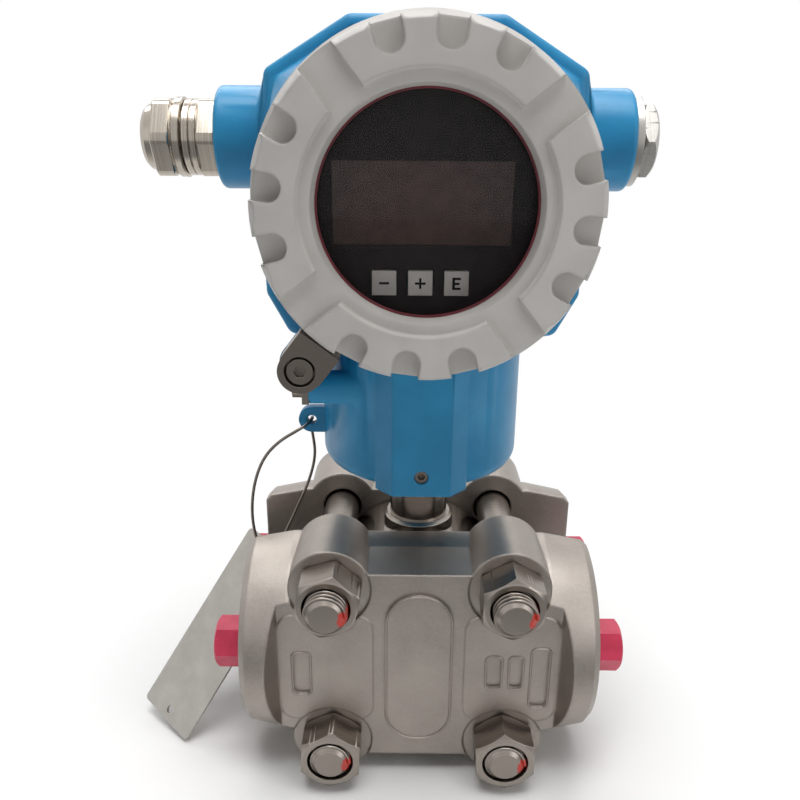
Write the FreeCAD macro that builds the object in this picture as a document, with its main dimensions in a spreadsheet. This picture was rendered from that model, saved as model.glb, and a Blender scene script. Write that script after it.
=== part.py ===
"""Differential pressure transmitter: a sensor cell bolted between two process flanges,
and a two-chamber electronics head that turns on the cell's neck.

Millimetres, +Z up. The pieces are laid out on the neck: X = Y = 0 is the neck's axis and
z = 0 is the level of the process ports, with the display to -Y and the cable gland to -X.
finish() then moves every piece by the same amounts, so that the origin of the written
parts is the middle of the underside of the whole instrument.
"""
import FreeCAD
import Part
import math
import os
import Sketcher

DOC = FreeCAD.newDocument("pressure_transmitter")
SHEET = DOC.addObject("Spreadsheet::Sheet", "Sizes")
PARTS = []

SIZES = [
    # Process flanges, cast in stainless steel, one on each side of the sensor cell
    ("cell_thickness", 30, "sensor cell, flange face to flange face"),
    ("flange_width", 109, "flange along X, end face to end face"),
    ("flange_crest", 34, "radius of the round front of a flange"),
    ("flange_end_radius", 31.5, "radius of the round front at its end faces"),
    ("flange_straight", 40, "half the width where the round front keeps its full radius"),
    ("flange_edge", 2, "chamfer round the end faces"),
    ("flange_face_depth", 25, "flange's inner face to its flat front"),
    ("face_half_width", 43, "half the width of the flat front"),
    ("face_flare", 4.5, "how far the ear's inner wall leans out"),
    ("block_half_height", 33, "flat top and bottom of the flange block above the ports"),
    ("port_spacing", 54, "between the two flanges' port axes"),
    ("port_bore", 11.8, "process port, across"),
    ("port_depth", 14, "process port, end face to shoulder"),
    ("passage_bore", 8, "drilling that joins a flange's two ports"),
    ("chamber_radius", 23, "measuring chamber in a flange's inner face"),
    ("chamber_depth", 2, "measuring chamber's depth"),
    ("chamber_feed", 12, "hole from the chamber to the drilling, across"),
    ("manifold_pitch", 41.3, "between a port's two manifold screw holes"),
    ("manifold_hole", 9.8, "manifold screw hole, across"),
    ("manifold_depth", 15, "manifold screw hole, deep"),
    ("panel_width", 20, "raised oval panel on the flat front, wide"),
    ("panel_height", 52, "raised oval panel, high"),
    ("panel_relief", 0.8, "raised oval panel, proud of the front"),
    ("field_start", 14, "middle of the flange to a raised side field"),
    ("field_height", 38, "raised side field, high"),
    ("field_relief", 0.5, "raised side field, proud of the front"),
    ("field_corner", 5, "raised side field's corner radius"),
    ("mark_depth", 0.9, "blank casting marks, deep"),
    ("mark_corner", 1.6, "blank casting marks, corner radius"),
    # Through bolts
    ("bolt_pitch_x", 54, "between bolts along X"),
    ("bolt_pitch_z", 55, "between bolts along Z"),
    ("bolt_size", 12, "bolt shank, across"),
    ("bolt_hole", 13.5, "bolt hole, across"),
    ("bolt_seat_depth", 24, "flange's inner face to the nut's seat"),
    ("lobe_radius", 12.5, "cast lobe round each bolt"),
    ("nut_flats", 18, "nut and bolt head, across flats"),
    ("nut_height", 10.8, "nut, high"),
    ("bolt_head_height", 7.5, "bolt head, high"),
    ("upper_bolt_length", 93.5, "upper pair, under the head"),
    ("lower_bolt_length", 90, "lower pair, under the head"),
    ("bolt_tip", 1.5, "chamfer at a bolt's tip"),
    # Sensor cell and neck
    ("cell_radius", 31.5, "sensor cell's disc"),
    ("cell_edge", 1, "chamfer of the disc"),
    ("diaphragm_radius", 23.9, "diaphragm foil"),
    ("diaphragm_seat", 1, "recess that the diaphragm is welded into"),
    ("diaphragm_foil", 0.4, "diaphragm's thickness"),
    ("diaphragm_wave", 3, "radial step of the diaphragm's waves"),
    ("seal_inner", 25.1, "flange seal, inner radius"),
    ("seal_outer", 28.5, "flange seal, outer radius"),
    ("seal_depth", 2, "flange seal's groove, deep"),
    ("neck_size", 19, "steel neck, across"),
    ("neck_top", 75, "top of the steel neck"),
    ("neck_collar", 23, "weld collar on the neck, across"),
    ("neck_collar_low", 31.5, "weld collar's underside"),
    ("neck_collar_height", 3, "weld collar, high"),
    ("neck_wire_bore", 10, "wire way in the neck, across"),
    # Port plugs
    ("plug_flats", 14, "port plug, across flats"),
    ("plug_reach", 10, "port plug, proud of the flange"),
    ("plug_thread", 11, "port plug's thread, long"),
    # Electronics housing
    ("head_height", 139.7, "axis of the covers above the ports"),
    ("hood_bottom", 55.5, "underside of the housing's neck"),
    ("hood_radius", 31, "housing's neck"),
    ("hood_edge", 5, "rounding of the neck's underside"),
    ("hood_join", 108, "level where the neck ends inside the body"),
    ("rib_width", 17, "flat rib down the front of the neck"),
    ("rib_root", 27, "rib's width where it leaves the neck"),
    ("rib_reach", 33.5, "rib's flat face from the neck's axis"),
    ("rib_root_reach", 28, "depth at which the rib's flanks start"),
    ("body_depth", 52, "housing's eight-sided body along Y"),
    ("body_crown", 22, "half the width of the body's top"),
    ("body_top", 188, "top of the body"),
    ("body_shoulder", 46.5, "half the width at the upper corners"),
    ("body_shoulder_level", 173, "level of the upper corners"),
    ("body_waist", 48, "half the width at the lower corners"),
    ("body_waist_level", 111, "level of the lower corners"),
    ("body_foot", 41, "half the width of the body's underside"),
    ("body_foot_level", 98.5, "underside of the body"),
    ("body_edge", 3.5, "rounding of the body's edges"),
    ("lip_radius", 44.5, "round lip that a cover closes on"),
    ("lip_face", 32, "neck's axis to the lip's face"),
    ("thread_bore", 76.6, "thread for a cover, across"),
    ("front_floor", 10, "neck's axis to the front chamber's floor"),
    ("rear_floor", 5, "partition's rear face, in front of the neck's axis"),
    ("arm_level", 154, "axis of the two cable entries"),
    ("arm_setback", 4, "cable entries behind the neck's axis"),
    ("arm_size", 29, "cable entry arm, across"),
    ("arm_reach", 62, "neck's axis to an arm's end"),
    ("arm_edge", 1.5, "rounding of an arm's end"),
    ("arm_bore", 19.5, "cable entry thread, across"),
    ("lug_reach", 34.5, "neck's axis to the tag eyelet"),
    ("lug_front", 6.5, "front of the tag eyelet"),
    ("lug_level", 69, "height of the tag eyelet"),
    ("lug_radius", 4.2, "tag eyelet, outer radius"),
    ("lug_hole", 3, "tag eyelet's hole, across"),
    ("lug_thickness", 3, "tag eyelet, thick"),
    ("swivel_gap", 0.3, "running gap between neck and housing"),
    ("head_wire_bore", 12, "wire way above the neck, across"),
    ("neck_seal_level", 69.5, "underside of the neck's seal"),
    ("neck_seal_height", 2.4, "neck's seal, high"),
    ("neck_seal_size", 24, "neck's seal, across"),
    # Covers
    ("cover_height", 20, "cover above the lip"),
    ("cover_radius", 42.7, "cover's rim"),
    ("cover_hem", 44, "cover's rim next to the lip"),
    ("cover_hem_height", 3, "height of that part of the rim"),
    ("cover_edge", 1.5, "chamfer of the rim"),
    ("cover_room", 0.6, "clearance round a cover's rim"),
    ("ring_inner", 31.5, "inner radius of the raised ring"),
    ("ring_relief", 1.6, "raised ring, proud of the inner face"),
    ("window_radius", 28.7, "window opening"),
    ("window_flare", 0.8, "window opening, wider at its front"),
    ("cover_plate", 4, "cover's front wall"),
    ("glass_seat", 32.2, "bore that holds the window"),
    ("skirt_inner", 34.5, "inside of the threaded skirt"),
    ("skirt_length", 12, "threaded skirt below the lip"),
    ("thread_gap", 0.3, "running gap of every screwed cover and nut"),
    ("thumb_width", 7, "thumb recess, wide"),
    ("thumb_start", 38.4, "centre of a thumb recess's round end"),
    ("thumb_depth", 3, "thumb recess below the raised ring"),
    ("notch_radius", 41.3, "rim left under a thumb recess"),
    ("thumb_step", 21, "angle between neighbouring recesses"),
    ("thumb_turn", -7, "angle of the middle recess of a group"),
    ("slot_width", 9.5, "channel across the raised ring, wide"),
    ("slot_turn", 38, "angle of a channel"),
    ("repeats", 4, "groups of recesses round a cover"),
    ("gasket_height", 1, "window gasket, thick"),
    ("gasket_inner", 27.7, "window gasket, inner radius"),
    ("glass_height", 4, "window glass, thick"),
    ("retainer_height", 2, "window's retaining ring, thick"),
    ("retainer_inner", 29.5, "window's retaining ring, inner radius"),
    ("snug", 0.05, "clearance of pieces that do not move on each other"),
    ("cover_seal_groove", 1.5, "cover seal's groove, deep"),
    ("cover_seal_height", 2.4, "cover seal's groove, high"),
    ("cover_seal_level", 1.6, "lip to the cover seal's groove"),
    # Display and electronics
    ("bezel_radius", 31, "display bezel"),
    ("bezel_front", 37.5, "neck's axis to the bezel's front"),
    ("bezel_depth", 4, "display bezel, thick"),
    ("screen_left", 24, "axis to the display window's left edge"),
    ("screen_width", 46, "display window, wide"),
    ("screen_low", 129, "display window's lower edge"),
    ("screen_height", 21, "display window, high"),
    ("screen_sunk", 0.8, "display glass below the bezel's front"),
    ("key_size", 6.3, "operating key, square"),
    ("key_pitch", 9.4, "between operating keys"),
    ("key_middle", -1.3, "middle key, along X"),
    ("key_level", 119.5, "height of the keys"),
    ("key_proud", 1.2, "key, proud of the bezel"),
    ("key_length", 3.4, "key, front to back"),
    ("key_gap", 0.3, "running gap round a key"),
    ("board_radius", 30, "display board"),
    ("board_thickness", 1.6, "display board, thick"),
    ("module_radius", 33.5, "electronics module"),
    ("terminal_width", 50, "terminal block, wide"),
    ("terminal_height", 20, "terminal block, high"),
    ("terminal_depth", 16, "terminal block, front to back"),
    ("terminal_pitch", 12, "between terminal screws"),
    ("terminal_screw", 6.5, "terminal screw's head, across"),
    ("terminal_count", 4, "terminal screws"),
    # Cable gland and blanking plug
    ("gland_flats", 21.5, "gland's hexagons, across flats"),
    ("gland_hex", 6.5, "gland body's hexagon, long"),
    ("gland_collar", 22, "gland body's collar, across"),
    ("gland_collar_length", 2.5, "gland body's collar, long"),
    ("gland_thread", 12, "gland's thread in the arm, long"),
    ("gland_barrel", 18, "barrel that the dome nut screws on, across"),
    ("gland_barrel_length", 9, "that barrel, long"),
    ("gland_bore", 9, "cable bore, across"),
    ("gland_seat_bore", 15, "seat of the gland's rubber, across"),
    ("dome_length", 13, "dome nut, long"),
    ("dome_hex", 7, "dome nut's hexagon, long"),
    ("dome_nose", 17, "dome nut's nose, across"),
    ("dome_wall", 2.5, "dome nut's end wall"),
    ("rubber_length", 6, "gland's rubber, long"),
    ("blank_flange", 26, "blanking plug's flange, across"),
    ("blank_flange_length", 1.5, "blanking plug's flange, thick"),
    ("blank_flats", 20, "blanking plug, across flats"),
    ("blank_hex", 3.5, "blanking plug's hexagon, high"),
    # Cover locks, set screw and earth terminal
    ("lock_across", 32.8, "cover lock from the neck's axis, along X"),
    ("lock_level", 96.7, "height of the cover lock"),
    ("lock_seat", 36, "neck's axis to the lock's seat"),
    ("lock_radius", 6, "cover lock round its screw"),
    ("lock_width", 12.6, "cover lock's claw, wide"),
    ("lock_reach", 9, "cover lock's claw, from the screw"),
    ("lock_height", 8, "cover lock, thick"),
    ("lock_sink", 8.4, "sunk seat of the lock's screw, across"),
    ("lock_sink_depth", 4.2, "sunk seat, deep"),
    ("lock_head", 7, "lock screw's head, across"),
    ("lock_head_height", 4, "lock screw's head, high"),
    ("lock_screw", 4, "lock screw, across"),
    ("lock_screw_length", 12, "lock screw, under its head"),
    ("lock_socket", 3, "lock screw's socket, across flats"),
    ("set_level", 61.5, "height of the neck's set screw"),
    ("set_size", 4, "set screw, across"),
    ("set_sunk", 0.6, "set screw below the rib's face"),
    ("set_socket", 2, "set screw's socket, across flats"),
    ("earth_back", 21, "earth terminal in front of the neck's axis"),
    ("earth_level", 85, "height of the earth terminal"),
    ("earth_boss", 10, "earth terminal's boss, across"),
    ("earth_reach", 33, "neck's axis to the boss's end"),
    ("earth_plate", 8.4, "earth terminal's clamp plate, square"),
    ("earth_plate_thickness", 2, "clamp plate, thick"),
    ("earth_head", 6.5, "earth screw's head, across"),
    ("earth_head_height", 3, "earth screw's head, high"),
    ("earth_screw", 4, "earth screw, across"),
    ("earth_screw_length", 10, "earth screw, under its head"),
    # Tag plate on its wire
    ("wire_size", 1, "tag wire, across"),
    ("tag_width", 24, "tag plate, wide"),
    ("tag_length", 70, "tag plate, long"),
    ("tag_thickness", 0.8, "tag plate, thick"),
    ("tag_corner", 1.5, "tag plate's corner radius"),
    ("tag_hole", 3, "tag plate's holes, across"),
    ("tag_hole_inset", 3.5, "tag plate's holes from its short edges"),
]

# The wire's route from the eyelet's hole, down and through the tag plate, and back up behind
# the neck into the same hole, in neck coordinates.
WIRE_ROUTE = [
    (-34.5, -5.2, 69.0), (-34.9, -8.6, 68.8), (-38.2, -11.4, 67.4), (-44.6, -10.6, 63.2),
    (-50.0, -8.2, 56.8), (-53.8, -5.2, 48.0), (-56.0, -3.0, 38.2), (-56.4, -2.0, 29.0),
    (-55.0, -1.6, 20.6), (-52.6, 1.0, 15.2), (-50.2, 5.2, 14.0), (-47.0, 6.6, 20.4),
    (-42.6, 7.2, 30.2), (-38.0, 8.0, 40.2), (-35.4, 8.6, 50.0), (-35.9, 6.8, 58.4),
    (-36.3, 2.6, 65.0), (-34.7, -1.8, 68.6), (-34.5, -5.0, 69.0),
]
# Where the tag plate hangs: its lower right corner, and the directions of its two edges from there.
TAG_CORNER = (-77.6, -28.7, -39.3)
TAG_ALONG = (0.513, 0.333, 0.791)
TAG_ACROSS = (0.742, -0.641, -0.195)

TO_UP = FreeCAD.Rotation()
TO_RIGHT = FreeCAD.Rotation(FreeCAD.Vector(0, 1, 0), 90)
TO_LEFT = FreeCAD.Rotation(FreeCAD.Vector(0, 1, 0), -90)
TO_FRONT = FreeCAD.Rotation(FreeCAD.Vector(1, 0, 0), 90)
TO_REAR = FreeCAD.Rotation(FreeCAD.Vector(0, 0, 1), 180).multiply(TO_FRONT)
HALF_TURN = FreeCAD.Rotation(FreeCAD.Vector(0, 0, 1), 180)
ORIGIN = (0, 0, 0)


class Formula:
    """A size worked out from the sheet: its text, for an expression, and its value."""

    def __init__(self, text, value):
        self.text = text
        self.value = value

    def __add__(self, other):
        other = as_formula(other)
        return Formula(f"({self.text} + {other.text})", self.value + other.value)

    def __sub__(self, other):
        other = as_formula(other)
        return Formula(f"({self.text} - {other.text})", self.value - other.value)

    def __mul__(self, other):
        other = as_formula(other)
        return Formula(f"({self.text} * {other.text})", self.value * other.value)

    def __truediv__(self, other):
        other = as_formula(other)
        return Formula(f"({self.text} / {other.text})", self.value / other.value)

    def __radd__(self, other):
        return as_formula(other) + self

    def __rsub__(self, other):
        return as_formula(other) - self

    def __rmul__(self, other):
        return as_formula(other) * self

    def __neg__(self):
        return as_formula(0) - self


def as_formula(size):
    """A plain number or a formula, as a formula."""
    if isinstance(size, Formula):
        return size
    return Formula(repr(float(size)), float(size))


def larger(one, other):
    """The larger of two formulas."""
    one, other = as_formula(one), as_formula(other)
    return Formula(f"max({one.text}; {other.text})", max(one.value, other.value))


class Sheet:
    """The spreadsheet's cells, each read as a formula: size.bolt_size and so on."""

    def fill(self):
        for row, (alias, value, note) in enumerate(SIZES, start=1):
            SHEET.set(f"A{row}", str(value))
            SHEET.setAlias(f"A{row}", alias)
            SHEET.set(f"B{row}", note)
        DOC.recompute()
        for alias, _, _ in SIZES:
            setattr(self, alias, Formula(f"Sizes.{alias}", float(SHEET.get(alias))))


size = Sheet()
size.fill()


# ---- Building blocks -------------------------------------------------------------------------

def bind(thing, prop, formula):
    """Tie one property of an object to a formula of the sheet."""
    thing.setExpression(prop, as_formula(formula).text)


def put(thing, spot=ORIGIN, turn=TO_UP):
    """Place an object, its position tied to formulas."""
    thing.Placement = FreeCAD.Placement(FreeCAD.Vector(), turn)
    for axis, formula in zip("xyz", spot):
        bind(thing, f"Placement.Base.{axis}", formula)
    return thing


def rod(across, length, spot=ORIGIN, turn=TO_UP):
    """A round bar of a given diameter, from a spot along a direction."""
    thing = DOC.addObject("Part::Cylinder", "Rod")
    bind(thing, "Radius", as_formula(across) / 2)
    bind(thing, "Height", length)
    return put(thing, spot, turn)


def block(lengths, low, turn=TO_UP):
    """A box from its lowest corner."""
    thing = DOC.addObject("Part::Box", "Block")
    for prop, formula in zip(("Length", "Width", "Height"), lengths):
        bind(thing, prop, formula)
    return put(thing, low, turn)


def join(*pieces):
    """Several shapes melted into one."""
    thing = DOC.addObject("Part::MultiFuse", "Joined")
    thing.Shapes = list(pieces)
    thing.Refine = True
    return thing


def cut(base, *tools):
    """A shape less one or more others."""
    thing = DOC.addObject("Part::Cut", "Cut")
    thing.Base = base
    thing.Tool = tools[0] if len(tools) == 1 else join(*tools)
    return thing


def meet(one, other):
    """What two shapes share."""
    thing = DOC.addObject("Part::Common", "Shared")
    thing.Base = one
    thing.Tool = other
    return thing


def group(*pieces):
    """Like pieces kept as separate solids in one node."""
    thing = DOC.addObject("Part::Compound", "Set")
    thing.Links = list(pieces)
    return thing


def rounded(base, radius, wanted):
    """A shape with the edges that wanted() picks rounded."""
    DOC.recompute()
    thing = DOC.addObject("Part::Fillet", "Rounded")
    thing.Base = base
    picks = [index for index, edge in enumerate(base.Shape.Edges, start=1) if wanted(edge)]
    thing.Edges = [(index, radius.value, radius.value) for index in picks]
    return thing


def runs_along(axis):
    """A test for straight edges that run along one axis."""
    def test(edge):
        if not isinstance(edge.Curve, Part.Line):
            return False
        return abs(abs(getattr(edge.Curve.Direction, axis)) - 1) < 1e-6
    return test


def soft_block(lengths, low, corner, axis):
    """A box whose four edges along one axis are rounded."""
    return rounded(block(lengths, low), corner, runs_along(axis))


def new_body(name):
    return DOC.addObject("PartDesign::Body", name)


def new_sketch(body, role, offset=ORIGIN, spin=0):
    """A sketch on one of the body's own origin planes, moved along and turned about its normal."""
    sketch = body.newObject("Sketcher::SketchObject", "Outline")
    plane = [item for item in body.Origin.OriginFeatures if item.Role == role][0]
    sketch.AttachmentSupport = [(plane, "")]
    sketch.MapMode = "FlatFace"
    turn = FreeCAD.Rotation(FreeCAD.Vector(0, 0, 1), as_formula(spin).value)
    sketch.AttachmentOffset = FreeCAD.Placement(FreeCAD.Vector(), turn)
    for axis, formula in zip("xyz", offset):
        bind(sketch, f"AttachmentOffset.Base.{axis}", formula)
    return sketch


def hold(sketch, kind, places, formula):
    """Add a dimension to a sketch and tie it to a formula."""
    formula = as_formula(formula)
    number = sketch.addConstraint(Sketcher.Constraint(kind, *places, formula.value))
    sketch.setExpression(f"Constraints[{number}]", formula.text)


def draw(sketch, points):
    """Draw a closed outline through points whose coordinates are formulas."""
    points = [(as_formula(across), as_formula(up)) for across, up in points]
    corners = [FreeCAD.Vector(across.value, up.value, 0) for across, up in points]
    count = len(points)
    for index in range(count):
        sketch.addGeometry(Part.LineSegment(corners[index], corners[(index + 1) % count]), False)
    for index in range(count):
        sketch.addConstraint(Sketcher.Constraint("Coincident", index, 2, (index + 1) % count, 1))
    for index, (across, up) in enumerate(points):
        hold(sketch, "DistanceX", (-1, 1, index, 1), across)
        hold(sketch, "DistanceY", (-1, 1, index, 1), up)


def turned(profile, name="Turned"):
    """A piece turned about its own Z axis, from (radius, height) points."""
    body = new_body(name)
    sketch = new_sketch(body, "XZ_Plane")
    draw(sketch, profile)
    spin = body.newObject("PartDesign::Revolution", "Spin")
    spin.Profile = sketch
    spin.ReferenceAxis = (sketch, ["V_Axis"])
    spin.Angle = 360
    return body


def padded(points, length, name="Padded"):
    """An outline in the XY plane, raised along Z."""
    body = new_body(name)
    sketch = new_sketch(body, "XY_Plane")
    draw(sketch, points)
    pad = body.newObject("PartDesign::Pad", "Pad")
    pad.Profile = sketch
    bind(pad, "Length", length)
    return body


def tube(outer_radius, inner_radius, length, spot=ORIGIN, turn=TO_UP):
    """A plain ring with a square section."""
    profile = [(inner_radius, 0), (outer_radius, 0), (outer_radius, length), (inner_radius, length)]
    return put(turned(profile, "Ring"), spot, turn)


def hexagon(flats, height, spot=ORIGIN, turn=TO_UP, spin=0):
    """A hexagon with its corners chamfered at both ends, as on a nut."""
    corner = flats / math.sqrt(3)
    land = flats * 0.475
    chamfer = (corner - land) * math.tan(math.radians(30))
    prism = DOC.addObject("Part::Prism", "Hexagon")
    prism.Polygon = 6
    bind(prism, "Circumradius", corner)
    bind(prism, "Height", height)
    put(prism, ORIGIN, FreeCAD.Rotation(FreeCAD.Vector(0, 0, 1), spin))
    barrel = turned([(0, 0), (land, 0), (corner, chamfer), (corner, height - chamfer),
                     (land, height), (0, height)], "Barrel")
    return put(meet(prism, barrel), spot, turn)


def socket(flats, depth, spot, turn):
    """A plain hexagon socket to cut out of a screw's head."""
    prism = DOC.addObject("Part::Prism", "Socket")
    prism.Polygon = 6
    bind(prism, "Circumradius", flats / math.sqrt(3))
    bind(prism, "Height", depth)
    return put(prism, spot, turn)


# ---- Where the origin lies -------------------------------------------------------------------

flange_face = size.cell_thickness / 2
bolt_seat = flange_face + size.bolt_seat_depth
gland_end = size.arm_reach + size.gland_hex + size.gland_collar_length + size.dome_length
blank_end = size.arm_reach + size.blank_flange_length + size.blank_hex
plug_end = size.flange_width / 2 + size.plug_reach
cover_face = size.lip_face + size.cover_height
front_end = larger(cover_face, size.upper_bolt_length - bolt_seat)
rear_end = larger(cover_face, bolt_seat + size.bolt_head_height)
SHIFT = (
    (larger(gland_end, plug_end) - larger(blank_end, plug_end)) / 2,
    (front_end - rear_end) / 2,
    size.bolt_pitch_z / 2 + size.lobe_radius,
)


def finish(name, thing, spot=ORIGIN, turn=TO_UP):
    """Name a sub-part and move it into the frame of the written parts."""
    thing.Label = name
    put(thing, [as_formula(here) + shift for here, shift in zip(spot, SHIFT)], turn)
    PARTS.append(thing)
    return thing


# ---- Pressure end ----------------------------------------------------------------------------

def bolt_places():
    """The four bolts as signs along X and Z."""
    return [(across, up) for up in (1, -1) for across in (-1, 1)]


def flange(name, turn):
    """A cast process flange, drawn as the front one."""
    inner = -flange_face
    front = inner - size.flange_face_depth
    half = size.flange_width / 2
    edge = size.flange_edge
    dome = turned([
        (0, -half), (size.flange_end_radius - edge, -half), (size.flange_end_radius, edge - half),
        (size.flange_crest, -size.flange_straight), (size.flange_crest, size.flange_straight),
        (size.flange_end_radius, half - edge), (size.flange_end_radius - edge, half), (0, half),
    ], "FlangeRound")
    put(dome, (0, inner, 0), TO_RIGHT)
    room = size.flange_crest + 2
    behind = block((size.flange_width + 2, room, room * 2), (-half - 1, inner, -room))
    flared = size.face_half_width + size.face_flare
    crest = inner - size.flange_crest
    face_cut = put(padded([(-size.face_half_width, front), (size.face_half_width, front),
                           (flared, crest - 1), (-flared, crest - 1)], room * 2), (0, 0, -room))
    ears = cut(dome, behind, face_cut)

    middle = block((size.bolt_pitch_x, size.flange_face_depth, size.block_half_height * 2),
                   (-size.bolt_pitch_x / 2, front, -size.block_half_height))
    lobes = [rod(size.lobe_radius * 2, size.bolt_seat_depth,
                 (size.bolt_pitch_x / 2 * across, inner, size.bolt_pitch_z / 2 * up), TO_FRONT)
             for across, up in bolt_places()]
    panel = soft_block((size.panel_width, size.panel_relief * 2, size.panel_height),
                       (-size.panel_width / 2, front - size.panel_relief, -size.panel_height / 2),
                       size.panel_width / 2 - size.snug, "y")
    field_width = size.face_half_width - size.field_start
    fields = [soft_block((field_width, size.field_relief * 2, size.field_height),
                         (low, front - size.field_relief, -size.field_height / 2),
                         size.field_corner, "y")
              for low in (-size.face_half_width, size.field_start)]
    casting = join(ears, middle, panel, *lobes, *fields)

    cuts = [rod(size.lobe_radius * 2, size.flange_crest,
                (size.bolt_pitch_x / 2 * across, -bolt_seat, size.bolt_pitch_z / 2 * up), TO_FRONT)
            for across, up in bolt_places()]
    cuts += [rod(size.bolt_hole, size.flange_crest,
                 (size.bolt_pitch_x / 2 * across, inner + 1, size.bolt_pitch_z / 2 * up), TO_FRONT)
             for across, up in bolt_places()]
    cuts += casting_marks(front - size.field_relief)
    cuts += flange_bores(inner, half)
    finish(name, cut(casting, *cuts), turn=turn)


def casting_marks(face):
    """The blank sunk marks in the two side fields: centre along X, level, width and height."""
    marks = ((-36, -2, 5.6, 15.6), (23.2, -1, 5, 12), (30, -1, 4.4, 12), (37.4, -3, 5.8, 22))
    return [soft_block((width, size.mark_depth * 2, height),
                       (across - width / 2, face - size.mark_depth, level - height / 2),
                       size.mark_corner, "y")
            for across, level, width, height in marks]


def flange_bores(inner, half):
    """Ports, drillings, chamber, seal groove and manifold screw holes of a flange."""
    port = -size.port_spacing / 2
    bores = [
        rod(size.passage_bore, size.flange_width, (-half, port, 0), TO_RIGHT),
        rod(size.chamber_radius * 2, size.chamber_depth + 1, (0, inner + 1, 0), TO_FRONT),
        rod(size.chamber_feed, -port - flange_face, (0, inner, 0), TO_FRONT),
        tube(size.seal_outer + size.snug, size.seal_inner - size.snug, size.seal_depth + 1,
             (0, inner + 1, 0), TO_FRONT),
    ]
    for side, turn in ((-1, TO_RIGHT), (1, TO_LEFT)):
        start = half * side
        bores.append(rod(size.port_bore, size.port_depth, (start, port, 0), turn))
        for up in (-1, 1):
            bores.append(rod(size.manifold_hole, size.manifold_depth,
                             (start, port, size.manifold_pitch / 2 * up), turn))
    return bores


def sensor_cell():
    """The measuring cell, a thick disc between the flanges, with the neck welded on top."""
    half = size.cell_thickness / 2
    rim = size.diaphragm_radius + size.snug
    floor = half - size.diaphragm_seat
    disc = put(turned([
        (0, -floor), (rim, -floor), (rim, -half), (size.cell_radius - size.cell_edge, -half),
        (size.cell_radius, size.cell_edge - half), (size.cell_radius, half - size.cell_edge),
        (size.cell_radius - size.cell_edge, half), (rim, half), (rim, floor), (0, floor),
    ], "CellDisc"), ORIGIN, TO_FRONT)
    collar_top = size.neck_collar_low + size.neck_collar_height
    root = size.cell_radius * 0.6
    neck = turned([
        (0, root), (size.neck_collar / 2, root), (size.neck_collar / 2, collar_top - 1),
        (size.neck_collar / 2 - 1, collar_top), (size.neck_size / 2, collar_top),
        (size.neck_size / 2, size.neck_top), (0, size.neck_top),
    ], "Neck")
    well = size.neck_top - size.cell_radius
    wire_way = rod(size.neck_wire_bore, well + 1, (0, 0, size.cell_radius))
    finish("sensor_cell", cut(join(disc, neck), wire_way))


def diaphragm(name, turn):
    """A thin waved metal foil, welded at its rim."""
    foil = size.diaphragm_foil
    crests = [size.diaphragm_wave * count for count in range(1, 7)]
    outer = [(0, foil * 2), (crests[0], foil * 2)]
    outer += [(radius, foil if count % 2 else foil * 2)
              for count, radius in enumerate(crests[1:], start=1)]
    outer += [(size.diaphragm_radius, foil)]
    inner = [(radius, height - foil) for radius, height in reversed(outer)]
    reach = size.cell_thickness / 2 - size.diaphragm_seat
    side = -1 if turn is TO_FRONT else 1
    finish(name, turned(outer + inner, "Foil"), (0, reach * side, 0), turn)


def flange_seal(name, turn):
    """A flat seal in the flange's groove, pressed on the cell."""
    side = -1 if turn is TO_FRONT else 1
    ring = tube(size.seal_outer, size.seal_inner, size.seal_depth)
    finish(name, ring, (0, flange_face * side, 0), turn)


def clamp_bolts():
    """Four through bolts with their heads behind the rear flange."""
    bolts = []
    for across, up in bolt_places():
        length = size.upper_bolt_length if up > 0 else size.lower_bolt_length
        radius = size.bolt_size / 2
        shank = put(turned([(0, 0), (radius, 0), (radius, length - size.bolt_tip),
                            (radius - size.bolt_tip, length), (0, length)], "Shank"),
                    (size.bolt_pitch_x / 2 * across, bolt_seat, size.bolt_pitch_z / 2 * up), TO_FRONT)
        head = hexagon(size.nut_flats, size.bolt_head_height,
                       (size.bolt_pitch_x / 2 * across, bolt_seat, size.bolt_pitch_z / 2 * up), TO_REAR)
        bolts.append(join(shank, head))
    finish("clamp_bolts", group(*bolts))


def clamp_nuts():
    """Four nuts on the front flange, each stopped at its own angle."""
    nuts = []
    for (across, up), spin in zip(bolt_places(), (18, 30, 27, 33)):
        spot = (size.bolt_pitch_x / 2 * across, -bolt_seat, size.bolt_pitch_z / 2 * up)
        nut = hexagon(size.nut_flats, size.nut_height, spot, TO_FRONT, spin)
        thread = rod(size.bolt_size + size.snug * 2, size.nut_height, spot, TO_FRONT)
        nuts.append(cut(nut, thread))
    finish("clamp_nuts", group(*nuts))


def port_plugs():
    """A plastic plug in each of the four process ports."""
    plugs = []
    for side, outward, inward in ((-1, TO_LEFT, TO_RIGHT), (1, TO_RIGHT, TO_LEFT)):
        for back in (-1, 1):
            spot = (size.flange_width / 2 * side, size.port_spacing / 2 * back, 0)
            head = hexagon(size.plug_flats, size.plug_reach, spot, outward, 30)
            thread = rod(size.port_bore - size.snug * 2, size.plug_thread, spot, inward)
            plugs.append(join(head, thread))
    finish("port_plugs", group(*plugs))


# ---- Electronics housing ---------------------------------------------------------------------

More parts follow.
